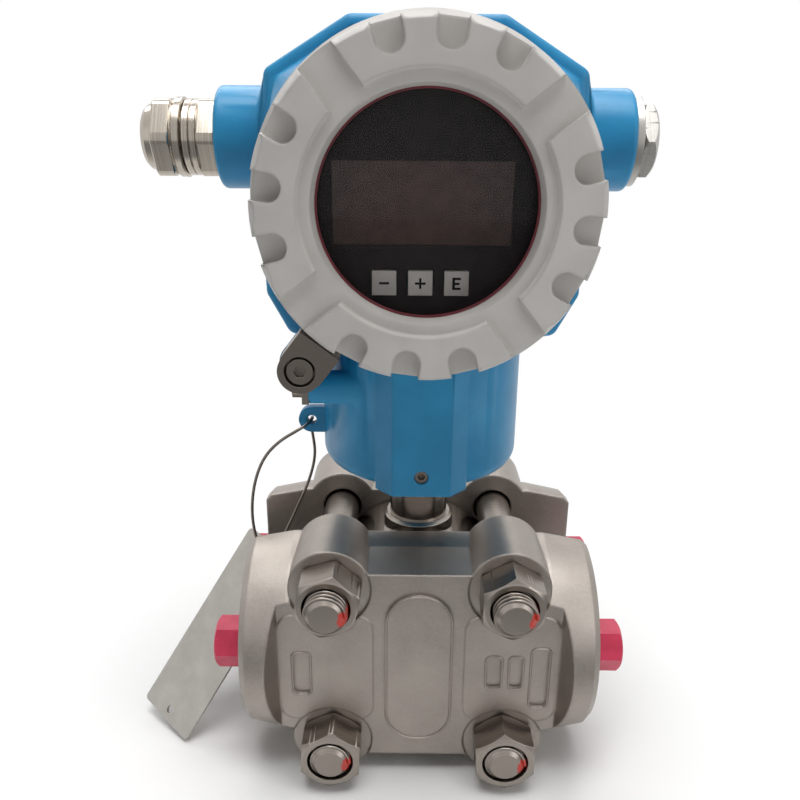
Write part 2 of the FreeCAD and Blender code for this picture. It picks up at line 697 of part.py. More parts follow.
def housing():
    """The painted aluminium casting: neck, eight-sided body, two chambers and two cable entries."""
    half_depth = size.body_depth / 2
    corners = [(size.body_crown, size.body_top), (size.body_shoulder, size.body_shoulder_level),
               (size.body_waist, size.body_waist_level), (size.body_foot, size.body_foot_level)]
    outline = corners + [(-across, level) for across, level in reversed(corners)]
    body = rounded(put(padded(outline, size.body_depth, "Body"), (0, half_depth, 0), TO_FRONT),
                   size.body_edge, lambda edge: True)
    lips = rod(size.lip_radius * 2, size.lip_face * 2, (0, size.lip_face, size.head_height), TO_FRONT)
    arms = rounded(rod(size.arm_size, size.arm_reach * 2,
                       (-size.arm_reach, size.arm_setback, size.arm_level), TO_RIGHT),
                   size.arm_edge, lambda edge: isinstance(edge.Curve, Part.Circle))
    neck = rounded(rod(size.hood_radius * 2, size.hood_join - size.hood_bottom,
                       (0, 0, size.hood_bottom)), size.hood_edge,
                   lambda edge: isinstance(edge.Curve, Part.Circle)
                   and edge.Curve.Center.z < size.hood_join.value - 1)
    casting = join(body, lips, arms, neck, rib(), *lock_seats(), earth_boss(), tag_eyelet())
    finish("housing", cut(casting, cover_room(), *chambers(), *neck_bores(), *housing_screw_holes()))


def rib():
    """The flat rib down the front of the neck, which carries the set screw."""
    rim, root = size.rib_width / 2, size.rib_root / 2
    outline = [(-rim, -size.rib_reach), (rim, -size.rib_reach), (root, -size.rib_root_reach),
               (root, 0), (-root, 0), (-root, -size.rib_root_reach)]
    return put(padded(outline, size.hood_join - size.hood_bottom, "Rib"), (0, 0, size.hood_bottom))


def cover_room():
    """The space that the front cover turns in, which ends the rib at the cover's rim."""
    return rod((size.cover_hem + size.cover_room) * 2, size.rib_reach,
               (0, -size.lip_face, size.head_height), TO_FRONT)


def lock_places():
    """Front-left and rear-right cover locks: signs along X and Y, and the way out of the seat."""
    return ((-1, -1, TO_FRONT, TO_REAR), (1, 1, TO_REAR, TO_FRONT))


def lock_seats():
    """A round boss behind each cover lock."""
    return [rod(size.lock_radius * 2 + 1, size.lock_seat - size.body_depth / 2 + size.body_edge * 2,
                (size.lock_across * across, size.lock_seat * back, size.lock_level), inward)
            for across, back, outward, inward in lock_places()]


def earth_boss():
    """The boss on the left of the neck that takes the earth terminal."""
    return rod(size.earth_boss, size.earth_reach - size.hood_radius / 2,
               (-size.earth_reach, -size.earth_back, size.earth_level), TO_RIGHT)


def tag_eyelet():
    """A flat eyelet cast on the left of the neck."""
    spot = (-size.lug_reach, -size.lug_front, size.lug_level)
    eye = rod(size.lug_radius * 2, size.lug_thickness, spot, TO_REAR)
    web = block((size.lug_reach - size.hood_radius + 3, size.lug_thickness, size.lug_radius * 2),
                (-size.lug_reach, -size.lug_front, size.lug_level - size.lug_radius))
    return cut(join(eye, web), rod(size.lug_hole, size.lug_thickness, spot, TO_REAR))


def chambers():
    """Front and rear chambers, the two cable entries and the wire way from the neck."""
    centre = (0, -size.lip_face, size.head_height)
    front = rod(size.thread_bore, size.lip_face - size.front_floor, centre, TO_REAR)
    rear = rod(size.thread_bore, size.lip_face + size.rear_floor,
               (0, size.lip_face, size.head_height), TO_FRONT)
    entries = rod(size.arm_bore, size.arm_reach * 2,
                  (-size.arm_reach, size.arm_setback, size.arm_level), TO_RIGHT)
    keep = block((size.thread_bore, size.front_floor - size.rear_floor, size.thread_bore),
                 (-size.thread_bore / 2, -size.front_floor, size.head_height - size.thread_bore / 2))
    return [front, rear, cut(entries, keep)]


def neck_bores():
    """The socket that turns on the steel neck, its seal's groove and the wire way above it."""
    across = size.neck_size + size.swivel_gap * 2
    seat = size.neck_top + size.swivel_gap
    return [
        rod(across, seat - size.hood_bottom, (0, 0, size.hood_bottom)),
        rod(size.head_wire_bore, size.hood_join - seat, (0, -size.front_floor / 2, seat)),
        rod(size.neck_seal_size + size.snug * 2, size.neck_seal_height, (0, 0, size.neck_seal_level)),
    ]


def housing_screw_holes():
    """Holes for the set screw, the two lock screws and the earth screw."""
    loose = size.snug * 2
    holes = [rod(size.set_size + loose, size.rib_reach, (0, -size.rib_reach, size.set_level), TO_REAR),
             rod(size.earth_screw + loose, size.earth_screw_length,
                 (-size.earth_reach, -size.earth_back, size.earth_level), TO_RIGHT)]
    holes += [rod(size.lock_screw + loose, size.lock_screw_length,
                  (size.lock_across * across, size.lock_seat * back, size.lock_level), inward)
              for across, back, outward, inward in lock_places()]
    return holes


def neck_seal():
    """The ring in the housing that wipes the steel neck."""
    ring = tube(size.neck_seal_size / 2, size.neck_size / 2 + size.swivel_gap, size.neck_seal_height)
    finish("neck_seal", ring, (0, 0, size.neck_seal_level))


def neck_set_screw():
    """The grub screw in the rib that holds the head at its angle."""
    start = size.rib_reach - size.set_sunk
    length = start - size.neck_size / 2 - size.swivel_gap
    screw = rod(size.set_size, length)
    hexagon_hole = socket(size.set_socket, size.set_size / 2, ORIGIN, TO_UP)
    finish("neck_set_screw", cut(screw, hexagon_hole), (0, -start, size.set_level), TO_REAR)


# ---- Covers ----------------------------------------------------------------------------------

def cover(name, turn, side, has_window):
    """A screwed cover with thumb recesses, drawn with its mating face at z = 0."""
    top = size.cover_height
    sunk = top - size.ring_relief
    ceiling = sunk - size.cover_plate
    thread = size.thread_bore / 2 - size.thread_gap
    groove_top = -size.cover_seal_level
    groove_low = groove_top - size.cover_seal_height
    outside = [
        (thread, -size.skirt_length), (thread, groove_low),
        (thread - size.cover_seal_groove, groove_low), (thread - size.cover_seal_groove, groove_top),
        (thread, groove_top), (thread, size.thread_gap), (size.cover_hem, size.thread_gap),
        (size.cover_hem, size.cover_hem_height), (size.cover_radius, size.cover_hem_height + 0.5),
        (size.cover_radius, top - size.cover_edge), (size.cover_radius - size.cover_edge, top),
        (size.ring_inner, top), (size.ring_inner - 0.6, sunk),
    ]
    if has_window:
        stack = size.gasket_height + size.glass_height + size.retainer_height
        inside = [
            (size.window_radius + size.window_flare, sunk), (size.window_radius, ceiling),
            (size.glass_seat, ceiling), (size.glass_seat, ceiling - stack),
            (size.skirt_inner, ceiling - stack - 1), (size.skirt_inner, -size.skirt_length),
        ]
    else:
        inside = [(0, sunk), (0, ceiling), (size.skirt_inner, ceiling),
                  (size.skirt_inner, -size.skirt_length)]
    body = turned(outside + inside, "Cover")
    for step in (-1, 0, 1):
        spin = size.thumb_turn + size.thumb_step * step
        recess(body, thumb_outline, size.cover_height, size.thumb_depth, spin)
        recess(body, notch_outline, size.cover_height, top - size.cover_hem_height - 1, spin)
    recess(body, slot_outline, size.cover_height, size.ring_relief, size.slot_turn)
    finish(name, body, (0, size.lip_face * side, size.head_height), turn)


def recess(body, outline, level, depth, spin):
    """Cut an outline into the cover's face and repeat it round the cover."""
    sketch = new_sketch(body, "XY_Plane", (0, 0, level), spin)
    outline(sketch)
    pocket = body.newObject("PartDesign::Pocket", "Recess")
    pocket.Profile = sketch
    bind(pocket, "Length", depth)
    pattern = body.newObject("PartDesign::PolarPattern", "Round")
    pattern.Originals = [pocket]
    pattern.Axis = (sketch, ["N_Axis"])
    pattern.Angle = 360
    bind(pattern, "Occurrences", size.repeats)
    body.Tip = pattern


def thumb_outline(sketch):
    """A U open to the rim: two straight sides and a round inner end."""
    half = size.thumb_width / 2
    start, end = size.thumb_start, size.cover_hem + 2
    sketch.addGeometry(Part.LineSegment(FreeCAD.Vector(start.value, half.value, 0),
                                        FreeCAD.Vector(end.value, half.value, 0)), False)
    sketch.addGeometry(Part.LineSegment(FreeCAD.Vector(end.value, half.value, 0),
                                        FreeCAD.Vector(end.value, -half.value, 0)), False)
    sketch.addGeometry(Part.LineSegment(FreeCAD.Vector(end.value, -half.value, 0),
                                        FreeCAD.Vector(start.value, -half.value, 0)), False)
    circle = Part.Circle(FreeCAD.Vector(start.value, 0, 0), FreeCAD.Vector(0, 0, 1), half.value)
    sketch.addGeometry(Part.ArcOfCircle(circle, math.pi / 2, 3 * math.pi / 2), False)
    sketch.addConstraint(Sketcher.Constraint("Coincident", 0, 2, 1, 1))
    sketch.addConstraint(Sketcher.Constraint("Coincident", 1, 2, 2, 1))
    sketch.addConstraint(Sketcher.Constraint("Tangent", 2, 2, 3, 2))
    sketch.addConstraint(Sketcher.Constraint("Tangent", 0, 1, 3, 1))
    sketch.addConstraint(Sketcher.Constraint("Horizontal", 0))
    sketch.addConstraint(Sketcher.Constraint("Vertical", 1))
    sketch.addConstraint(Sketcher.Constraint("PointOnObject", 3, 3, -1))
    hold(sketch, "DistanceX", (-1, 1, 3, 3), start)
    hold(sketch, "DistanceX", (-1, 1, 1, 1), end)
    hold(sketch, "Radius", (3,), half)


def notch_outline(sketch):
    """The shallow notch that a thumb recess leaves in the rim."""
    half = size.thumb_width / 2
    draw(sketch, [(size.notch_radius, half), (size.notch_radius, -half),
                  (size.cover_hem + 2, -half), (size.cover_hem + 2, half)])


def slot_outline(sketch):
    """A straight channel across the raised ring."""
    half = size.slot_width / 2
    inner = size.ring_inner - 2
    draw(sketch, [(inner, half), (inner, -half), (size.cover_hem + 2, -half),
                  (size.cover_hem + 2, half)])


def cover_seal(name, turn, side):
    """The square-section seal in a cover's groove."""
    thread = size.thread_bore / 2 - size.thread_gap
    ring = tube(thread, thread - size.cover_seal_groove + size.thread_gap,
                size.cover_seal_height - size.thread_gap * 2)
    low = size.cover_seal_level + size.cover_seal_height - size.thread_gap
    finish(name, ring, (0, (size.lip_face - low) * side, size.head_height), turn)


def window_stack():
    """Gasket, glass and retaining ring, laid one on the other behind the front cover's wall."""
    face = size.lip_face + size.cover_height - size.ring_relief - size.cover_plate
    outer = size.glass_seat - size.snug
    stack = (("window_gasket", size.gasket_inner, size.gasket_height),
             ("window_glass", None, size.glass_height),
             ("window_retaining_ring", size.retainer_inner, size.retainer_height))
    for name, inner, height in stack:
        piece = rod(outer * 2, height) if inner is None else tube(outer, inner, height)
        finish(name, piece, (0, -face, size.head_height), TO_REAR)
        face = face - height


# ---- Display and electronics -----------------------------------------------------------------

def key_places():
    """The three operating keys: name and place along X."""
    return (("key_minus", size.key_middle - size.key_pitch), ("key_plus", size.key_middle),
            ("key_enter", size.key_middle + size.key_pitch))


def display():
    """Bezel, screen, keys and board, stacked towards the electronics module."""
    front = -size.bezel_front
    plate = rod(size.bezel_radius * 2, size.bezel_depth, (0, front, size.head_height), TO_REAR)
    window = block((size.screen_width, size.bezel_depth, size.screen_height),
                   (-size.screen_left, front, size.screen_low))
    hole = size.key_size + size.key_gap * 2
    key_holes = [block((hole, size.bezel_depth, hole),
                       (across - hole / 2, front, size.key_level - hole / 2))
                 for _, across in key_places()]
    finish("display_bezel", cut(plate, window, *key_holes))
    finish("lcd_panel", block((size.screen_width - size.snug * 2, size.bezel_depth - size.screen_sunk,
                               size.screen_height - size.snug * 2), ORIGIN),
           (size.snug - size.screen_left, front + size.screen_sunk, size.screen_low + size.snug))
    for name, across in key_places():
        finish(name, block((size.key_size, size.key_length, size.key_size), ORIGIN),
               (across - size.key_size / 2, front - size.key_proud,
                size.key_level - size.key_size / 2))
    board = front + size.bezel_depth
    finish("display_board", rod(size.board_radius * 2, size.board_thickness), (0, board, size.head_height),
           TO_REAR)
    module = board + size.board_thickness
    finish("electronics_module", rod(size.module_radius * 2, -size.front_floor - module),
           (0, module, size.head_height), TO_REAR)


def terminals():
    """The terminal block on the partition, in the rear chamber, with its screws."""
    front = -size.rear_floor
    low = (-size.terminal_width / 2, front, size.head_height - size.terminal_height / 2)
    base = block((size.terminal_width, size.terminal_depth, size.terminal_height), low)
    face = front + size.terminal_depth
    first = -size.terminal_pitch * (size.terminal_count.value - 1) / 2
    spots = [(first + size.terminal_pitch * index, face, size.head_height)
             for index in range(int(size.terminal_count.value))]
    sunk = 2
    wells = [rod(size.terminal_screw + 1, sunk, spot, TO_FRONT) for spot in spots]
    finish("terminal_block", cut(base, *wells))
    screws = []
    for across, back, level in spots:
        head = rod(size.terminal_screw, sunk, (across, back, level), TO_FRONT)
        slot = block((size.terminal_screw, 1, 1), (across - size.terminal_screw / 2, back - 1, level - 0.5))
        screws.append(cut(head, slot))
    finish("terminal_screws", group(*screws))


# ---- Cable entries ---------------------------------------------------------------------------

def gland():
    """Cable gland in the left arm: body, rubber and dome nut."""
    spot = (-size.arm_reach, size.arm_setback, size.arm_level)
    thread = rod(size.arm_bore - size.snug * 2, size.gland_thread, ORIGIN, TO_RIGHT)
    nut = hexagon(size.gland_flats, size.gland_hex, ORIGIN, TO_LEFT, 30)
    collar_end = size.gland_hex + size.gland_collar_length
    collar = rod(size.gland_collar, size.gland_collar_length, (-size.gland_hex, 0, 0), TO_LEFT)
    barrel = rod(size.gland_barrel, size.gland_barrel_length, (-collar_end, 0, 0), TO_LEFT)
    end = collar_end + size.gland_barrel_length
    bore = rod(size.gland_bore, end + size.gland_thread, (-end, 0, 0), TO_RIGHT)
    seat_depth = size.rubber_length + size.thread_gap
    seat = rod(size.gland_seat_bore, seat_depth, (-end, 0, 0), TO_RIGHT)
    finish("gland_body", cut(join(thread, nut, collar, barrel), bore, seat), spot)

    start = size.arm_reach + end
    rubber = tube(size.gland_seat_bore / 2 - size.thread_gap, size.gland_bore / 2, size.rubber_length)
    finish("gland_rubber", rubber, (-start, size.arm_setback, size.arm_level), TO_RIGHT)

    dome_start = size.arm_reach + collar_end + size.thread_gap
    length = size.dome_length - size.thread_gap
    hex_part = hexagon(size.gland_flats, size.dome_hex, ORIGIN, TO_UP, 30)
    body_radius = size.gland_flats / 2 - 0.4
    dome = turned([(0, size.dome_hex - 1), (body_radius, size.dome_hex - 1),
                   (body_radius, size.dome_hex + 1), (size.dome_nose / 2 + 1, length - 1),
                   (size.dome_nose / 2, length), (0, length)], "Dome")
    inside = rod(size.gland_barrel + size.thread_gap * 2, length - size.dome_wall)
    way = rod(size.gland_bore, length)
    finish("gland_dome_nut", cut(join(hex_part, dome), inside, way),
           (-dome_start, size.arm_setback, size.arm_level), TO_LEFT)


def blanking_plug():
    """The hexagon plug that closes the right-hand cable entry."""
    thread = rod(size.arm_bore - size.snug * 2, size.gland_thread, ORIGIN, TO_LEFT)
    flange_ring = rod(size.blank_flange, size.blank_flange_length, ORIGIN, TO_RIGHT)
    head = hexagon(size.blank_flats, size.blank_hex, (size.blank_flange_length, 0, 0), TO_RIGHT, 30)
    finish("blanking_plug", join(thread, flange_ring, head),
           (size.arm_reach, size.arm_setback, size.arm_level))


# ---- Cover locks and earth terminal ----------------------------------------------------------

def cover_lock(name, across, back, outward):
    """A steel claw beside a cover's rim, and the screw that holds it."""
    rise = size.head_height.value - size.lock_level.value
    lean = math.degrees(math.atan2(rise, size.lock_across.value))
    eye = rod(size.lock_radius * 2, size.lock_height)
    claw = put(block((size.lock_reach, size.lock_width, size.lock_height), ORIGIN),
               (0, 0, 0), FreeCAD.Rotation(FreeCAD.Vector(0, 0, 1), lean))
    half = size.lock_width / 2
    bind(claw, "Placement.Base.x", half * math.sin(math.radians(lean)))
    bind(claw, "Placement.Base.y", -half * math.cos(math.radians(lean)))
    sink = rod(size.lock_sink, size.lock_sink_depth, (0, 0, size.lock_height - size.lock_sink_depth))
    hole = rod(size.lock_screw + size.snug * 2, size.lock_height)
    spot = (size.lock_across * across, size.lock_seat * back, size.lock_level)
    finish(name, cut(join(eye, claw), sink, hole), spot, outward)

    floor = size.lock_seat + size.lock_height - size.lock_sink_depth
    head = rod(size.lock_head, size.lock_head_height)
    shank = rod(size.lock_screw, size.lock_screw_length, (0, 0, -size.lock_screw_length))
    hexagon_hole = socket(size.lock_socket, size.lock_head_height / 2,
                          (0, 0, size.lock_head_height / 2), TO_UP)
    finish(name + "_screw", cut(join(head, shank), hexagon_hole),
           (size.lock_across * across, floor * back, size.lock_level), outward)


def earth_terminal():
    """A square clamp plate under a screw, on the boss at the left of the neck."""
    spot = (-size.earth_reach, -size.earth_back, size.earth_level)
    half = size.earth_plate / 2
    plate = block((size.earth_plate, size.earth_plate, size.earth_plate_thickness), (-half, -half, 0))
    hole = rod(size.earth_screw + size.snug * 2, size.earth_plate_thickness)
    finish("earth_clamp", cut(plate, hole), spot, TO_LEFT)
    head = rod(size.earth_head, size.earth_head_height)
    shank = rod(size.earth_screw, size.earth_screw_length, (0, 0, -size.earth_screw_length))
    slot = block((size.earth_head, 1, 1), (-size.earth_head / 2, -0.5, size.earth_head_height - 1))
    finish("earth_screw", cut(join(head, shank), slot),
           (-size.earth_reach - size.earth_plate_thickness, -size.earth_back, size.earth_level), TO_LEFT)


# ---- Tag plate and its wire ------------------------------------------------------------------

def tag_plate():
    """A bare steel plate that hangs on the wire, its lower corner on the ground."""
    plate = soft_block((size.tag_width, size.tag_length, size.tag_thickness),
                       (-size.tag_width, 0, 0), size.tag_corner, "z")
    holes = [rod(size.tag_hole, size.tag_thickness, (-size.tag_width / 2, level, 0))
             for level in (size.tag_hole_inset, size.tag_length - size.tag_hole_inset)]
    across = FreeCAD.Vector(*TAG_ACROSS)
    along = FreeCAD.Vector(*TAG_ALONG)
    turn = FreeCAD.Rotation(across, along, across.cross(along), "YXZ")
    finish("tag_plate", cut(plate, *holes), TAG_CORNER, turn)


def tag_wire():
    """The wire as straight runs joined by tangent arcs, swept from its round section."""
    route = [FreeCAD.Vector(*point) for point in WIRE_ROUTE]
    edges = []
    start = route[0]
    for before, corner, after in zip(route, route[1:], route[2:]):
        back, ahead = before - corner, after - corner
        turn = math.pi - back.getAngle(ahead)
        radius = 0.45 * min(back.Length, ahead.Length) / math.tan(turn / 2)
        back.normalize()
        ahead.normalize()
        reach = radius * math.tan(turn / 2)
        enter, leave = corner + back * reach, corner + ahead * reach
        middle = back + ahead
        middle.normalize()
        apex = corner + middle * (radius / math.cos(turn / 2) - radius)
        edges.append(Part.LineSegment(start, enter).toShape())
        edges.append(Part.Arc(enter, apex, leave).toShape())
        start = leave
        print(f"tag_wire arc radius {radius:.1f}")
    edges.append(Part.LineSegment(start, route[-1]).toShape())
    path = Part.Wire(edges)
    ring = Part.Circle(route[0], route[1] - route[0], size.wire_size.value / 2)
    section = Part.Wire([ring.toShape()])
    solid = path.makePipeShell([section], True, False)
    thing = DOC.addObject("Part::Feature", "Wire")
    thing.Shape = solid
    area = math.pi * (size.wire_size.value / 2) ** 2
    print(f"tag_wire length {path.Length:.1f}, volume ratio {solid.Volume / (area * path.Length):.4f}")
    finish("tag_wire", thing)


# ---- Assembly --------------------------------------------------------------------------------

def build():
    flange("front_flange", TO_UP)
    flange("rear_flange", HALF_TURN)
    sensor_cell()
    for name, turn in (("front", TO_FRONT), ("rear", TO_REAR)):
        diaphragm(name + "_diaphragm", turn)
        flange_seal(name + "_flange_seal", turn)
    clamp_bolts()
    clamp_nuts()
    port_plugs()
    housing()
    neck_seal()
    neck_set_screw()
    cover("front_cover", TO_FRONT, -1, True)
    cover("rear_cover", TO_REAR, 1, False)
    cover_seal("front_cover_seal", TO_FRONT, -1)
    cover_seal("rear_cover_seal", TO_REAR, 1)
    window_stack()
    display()
    terminals()
    gland()
    blanking_plug()
    for name, (across, back, outward, _) in zip(("front_lock", "rear_lock"), lock_places()):
        cover_lock(name, across, back, outward)
    earth_terminal()
    tag_plate()
    tag_wire()
    DOC.recompute()


def check():
    """Stop if any object failed or any sub-part has no valid shape."""
    failed = [thing.Label for thing in DOC.Objects
              if "Invalid" in thing.State or "Error" in thing.State]
    failed += [part.Label for part in PARTS if part.Shape.isNull() or not part.Shape.isValid()]
    if failed:
        raise RuntimeError("not built: " + ", ".join(failed))


def write():
    os.makedirs("parts", exist_ok=True)
    for part in PARTS:
        part.Shape.exportStep(f"parts/{part.Label}.step")
        print(f"{part.Label}: {len(part.Shape.Solids)} solids, {part.Shape.Volume / 1000:.2f} cm3")


build()
check()
write()
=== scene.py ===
# %% [markdown]
# # A differential pressure transmitter
# The solids of the instrument come from its construction model. This file
# dresses them: cast and machined steel, powder coat, nickel plate, glass and
# silicone, with the threads, marks and soft casting edges that solids leave
# out. Everything is in metres and stands where the construction model stands.

# %% Load the construction model
import math

import bmesh
import bpy
from mathutils import Matrix, Vector


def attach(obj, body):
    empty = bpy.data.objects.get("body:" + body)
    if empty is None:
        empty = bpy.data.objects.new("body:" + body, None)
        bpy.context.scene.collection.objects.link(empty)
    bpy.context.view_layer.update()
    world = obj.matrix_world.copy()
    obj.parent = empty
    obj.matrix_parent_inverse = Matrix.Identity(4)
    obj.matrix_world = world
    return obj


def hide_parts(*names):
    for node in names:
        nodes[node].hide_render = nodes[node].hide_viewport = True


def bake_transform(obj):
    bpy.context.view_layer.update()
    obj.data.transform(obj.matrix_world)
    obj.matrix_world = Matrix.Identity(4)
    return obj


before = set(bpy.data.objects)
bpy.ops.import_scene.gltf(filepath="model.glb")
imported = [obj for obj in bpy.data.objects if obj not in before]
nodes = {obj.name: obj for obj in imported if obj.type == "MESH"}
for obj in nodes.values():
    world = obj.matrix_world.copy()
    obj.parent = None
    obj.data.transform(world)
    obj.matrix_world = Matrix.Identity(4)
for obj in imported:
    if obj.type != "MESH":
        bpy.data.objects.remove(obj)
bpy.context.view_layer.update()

MM = 0.001

# %% [markdown]
# The neck's axis is the line that everything turns about. Its foot, level
# with the process ports, is the point that all places below are given from,
# in millimetres: x to the right, y to the back and z up.

# %% The neck's foot and a helper for places
NECK_FOOT = Vector((8.5, 1.25, 40.0))


def at(x, y, z):
    """A point given from the neck's foot in millimetres, in the scene's metres."""
    return (Vector((x, y, z)) + NECK_FOOT) * MM


print("neck foot at", at(0, 0, 0)[:])

# %% [markdown]
# The camera stands close to the front, a little above the window, and looks
# down by its pitch; all three angles are in radians. A lens as long as the
# sensor is wide gives the strong perspective of a close view.

# %% Camera
CAMERA_SPOT = at(-5.4, -244.5, 160.7)
PITCH_DOWN, YAW, ROLL = 0.3423, -0.0045, 0.0078
LENS, SENSOR = 36, 36
NEAREST_SEEN = 10 * MM


def camera_axes(pitch, yaw, roll):
    """The camera's right, up and back directions."""
    ahead = Vector((math.sin(yaw) * math.cos(pitch),
                    math.cos(yaw) * math.cos(pitch), -math.sin(pitch)))
    level = Vector((math.cos(yaw), -math.sin(yaw), 0))
    upright = level.cross(ahead)
    right = math.cos(roll) * level + math.sin(roll) * upright
    up = math.cos(roll) * upright - math.sin(roll) * level
    return right, up, -ahead


def linked(name, data):
    """A new object that holds a mesh, a lamp or a camera, put into the scene."""
    item = bpy.data.objects.new(name, data)
    bpy.context.scene.collection.objects.link(item)
    return item


camera = linked("camera", bpy.data.cameras.new("camera"))
camera.data.lens = LENS
camera.data.sensor_width = SENSOR
camera.data.clip_start = NEAREST_SEEN
turned = Matrix(camera_axes(PITCH_DOWN, YAW, ROLL)).transposed().to_4x4()
camera.matrix_world = Matrix.Translation(CAMERA_SPOT) @ turned
bpy.context.scene.camera = camera
print("camera at", [round(v, 4) for v in CAMERA_SPOT])

# %% [markdown]
# Colours are written as the hex codes of a paint card. Blender mixes light in
# linear values, so one function turns a code into them.

# %% Colour and node helpers


def linear(code):
    """A hex colour such as #2F86B8 as linear red, green, blue and alpha."""
    parts = [int(code[i:i + 2], 16) / 255 for i in (1, 3, 5)]
    return tuple(c / 12.92 if c <= 0.04045 else ((c + 0.055) / 1.055) ** 2.4
                 for c in parts) + (1,)


def add(tree, kind, inputs=None, **settings):
    """Adds a node, sets its properties, and fills its sockets with values or links."""
    node = tree.nodes.new(kind)
    for name, value in settings.items():
        setattr(node, name, value)
    for key, value in (inputs or {}).items():
        if isinstance(value, bpy.types.NodeSocket):
            tree.links.new(value, node.inputs[key])
        else:
            node.inputs[key].default_value = value
    return node


def surface(name, **sockets):
    """A material with its shader's sockets set: (material, node tree, shader)."""
    material = bpy.data.materials.new(name)
    material.use_nodes = True
    shader = material.node_tree.nodes["Principled BSDF"]
    for key, value in sockets.items():
        shader.inputs[key.replace("_", " ")].default_value = value
    return material, material.node_tree, shader


print("white is", linear("#FFFFFF"))

# %% [markdown]
# The tag's wire is one millimetre of annealed stainless steel. It leaves the
# eyelet under the head, hangs down through the hole of the tag plate and
# comes back up to the eyelet, where its two ends are twisted together. A
# NURBS curve of order three through few points gives the one smooth bow that
# such wire takes. It is made a plain mesh, because its upper part turns with
# the head while the tag stays, so it has to bend between the two.

# %% Tag wire
WIRE_ROUTE = [
    (-34.5, -5.2, 69.0), (-34.9, -8.6, 68.8), (-38.2, -11.4, 67.4), (-44.6, -10.6, 63.2),
    (-50.0, -8.2, 56.8), (-53.8, -5.2, 48.0), (-56.0, -3.0, 38.2), (-56.4, -2.0, 29.0),
    (-55.0, -1.6, 20.6), (-52.6, 1.0, 15.2), (-50.2, 5.2, 14.0), (-47.0, 6.6, 20.4),
    (-42.6, 7.2, 30.2), (-38.0, 8.0, 40.2), (-35.4, 8.6, 50.0), (-35.9, 6.8, 58.4),
    (-36.3, 2.6, 65.0), (-34.7, -1.8, 68.6), (-34.5, -5.0, 69.0),
]
WIRE_ACROSS = 1.0 * MM
CURVE_ORDER = 3
STEPS_ALONG, STEPS_ROUND = 12, 4

wire_curve = bpy.data.curves.new("tag_wire_line", "CURVE")
wire_curve.dimensions = "3D"
wire_curve.resolution_u = STEPS_ALONG
# With a bevel of one, the radius of each point is the radius of the wire.
wire_curve.bevel_depth = 1.0
wire_curve.bevel_resolution = STEPS_ROUND
wire_curve.use_fill_caps = True
spline = wire_curve.splines.new("NURBS")
spline.points.add(len(WIRE_ROUTE) - 1)
for point, spot in zip(spline.points, WIRE_ROUTE):
    point.co = (*at(*spot), 1)
    point.radius = WIRE_ACROSS / 2
spline.order_u = CURVE_ORDER
spline.use_endpoint_u = True
wire_line = bpy.data.objects.new("wire_line", wire_curve)
wire = linked("tag_wire_bow", bpy.data.meshes.new_from_object(wire_line))
wire_curve.bevel_depth = 0
wire_middle = bpy.data.meshes.new_from_object(wire_line)
bpy.data.objects.remove(wire_line)
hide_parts("tag_wire")
print("wire points", len(WIRE_ROUTE))

# %% [markdown]
# The instrument stands in a plain white studio. Round its foot the floor is
# matt paint that takes the shadow. Further out the floor fades into the same
# white as the world, so no horizon shows. Rays that look at the background,
# straight or in a mirror or through glass, see that white, except that metal
# also mirrors the front half of the room, which is darker. All other rays
# see a dim room, so the lamps alone model the form.

# %% Floor and world
FLOOR_ACROSS, FLOOR_CORNERS = 3.0, 64
FADE_START, FADE_END = 0.085, 0.18
ROOM_GREY, STUDIO_WHITE = "#7C7C7C", "#FFFFFF"
# How bright metal sees the front half, and where it passes into the back half.
FRONT_FLOOR, FLOOR_PASSES = 0.35, (-0.1, 0.1)
FRONT_DARK, ROOM_PASSES = 0.75, (-0.75, 0.15)
CEILING_PASSES = (0.4, 0.85)


def shows_background(tree):
    """1 for the rays that look at the background, 0 for the rays that only light."""
    path = add(tree, "ShaderNodeLightPath").outputs
    looks = add(tree, "ShaderNodeMath", {0: path["Is Camera Ray"], 1: path["Is Glossy Ray"]},
                operation="MAXIMUM").outputs[0]
    return add(tree, "ShaderNodeMath", {0: looks, 1: path["Is Transmission Ray"]},
               operation="MAXIMUM").outputs[0]


floor_mesh = bpy.data.meshes.new("floor")
floor_net = bmesh.new()
bmesh.ops.create_circle(floor_net, cap_ends=True, segments=FLOOR_CORNERS,
                      radius=FLOOR_ACROSS / 2)
floor_net.to_mesh(floor_mesh)
floor_net.free()
floor = linked("floor", floor_mesh)
floor_paint, tree, shader = surface("floor_matt_white", Base_Color=linear("#F7F7F6"),
                                    Roughness=0.9)
place = add(tree, "ShaderNodeTexCoord").outputs["Object"]
out_from_middle = add(tree, "ShaderNodeVectorMath", {0: place},
                      operation="LENGTH").outputs["Value"]
fade = add(tree, "ShaderNodeMapRange", {0: out_from_middle, 1: FADE_START, 2: FADE_END},
           interpolation_type="SMOOTHSTEP").outputs[0]
glow = add(tree, "ShaderNodeEmission", {"Color": linear(STUDIO_WHITE)})
to_the_back = add(tree, "ShaderNodeSeparateXYZ", {0: place}).outputs["Y"]
behind = add(tree, "ShaderNodeMapRange", {0: to_the_back, 1: FLOOR_PASSES[0], 2: FLOOR_PASSES[1],
                                          3: FRONT_FLOOR, 4: 1.0}).outputs[0]
mirrored = add(tree, "ShaderNodeMath",
               {0: behind, 1: add(tree, "ShaderNodeLightPath").outputs["Is Camera Ray"]},
               operation="MAXIMUM").outputs[0]
tree.links.new(mirrored, glow.inputs["Strength"])
amount = add(tree, "ShaderNodeMath", {0: fade, 1: shows_background(tree)},
             operation="MULTIPLY").outputs[0]
blend = add(tree, "ShaderNodeMixShader", {0: amount, 1: shader.outputs[0], 2: glow.outputs[0]})
tree.links.new(blend.outputs[0], tree.nodes["Material Output"].inputs["Surface"])
floor_mesh.materials.append(floor_paint)

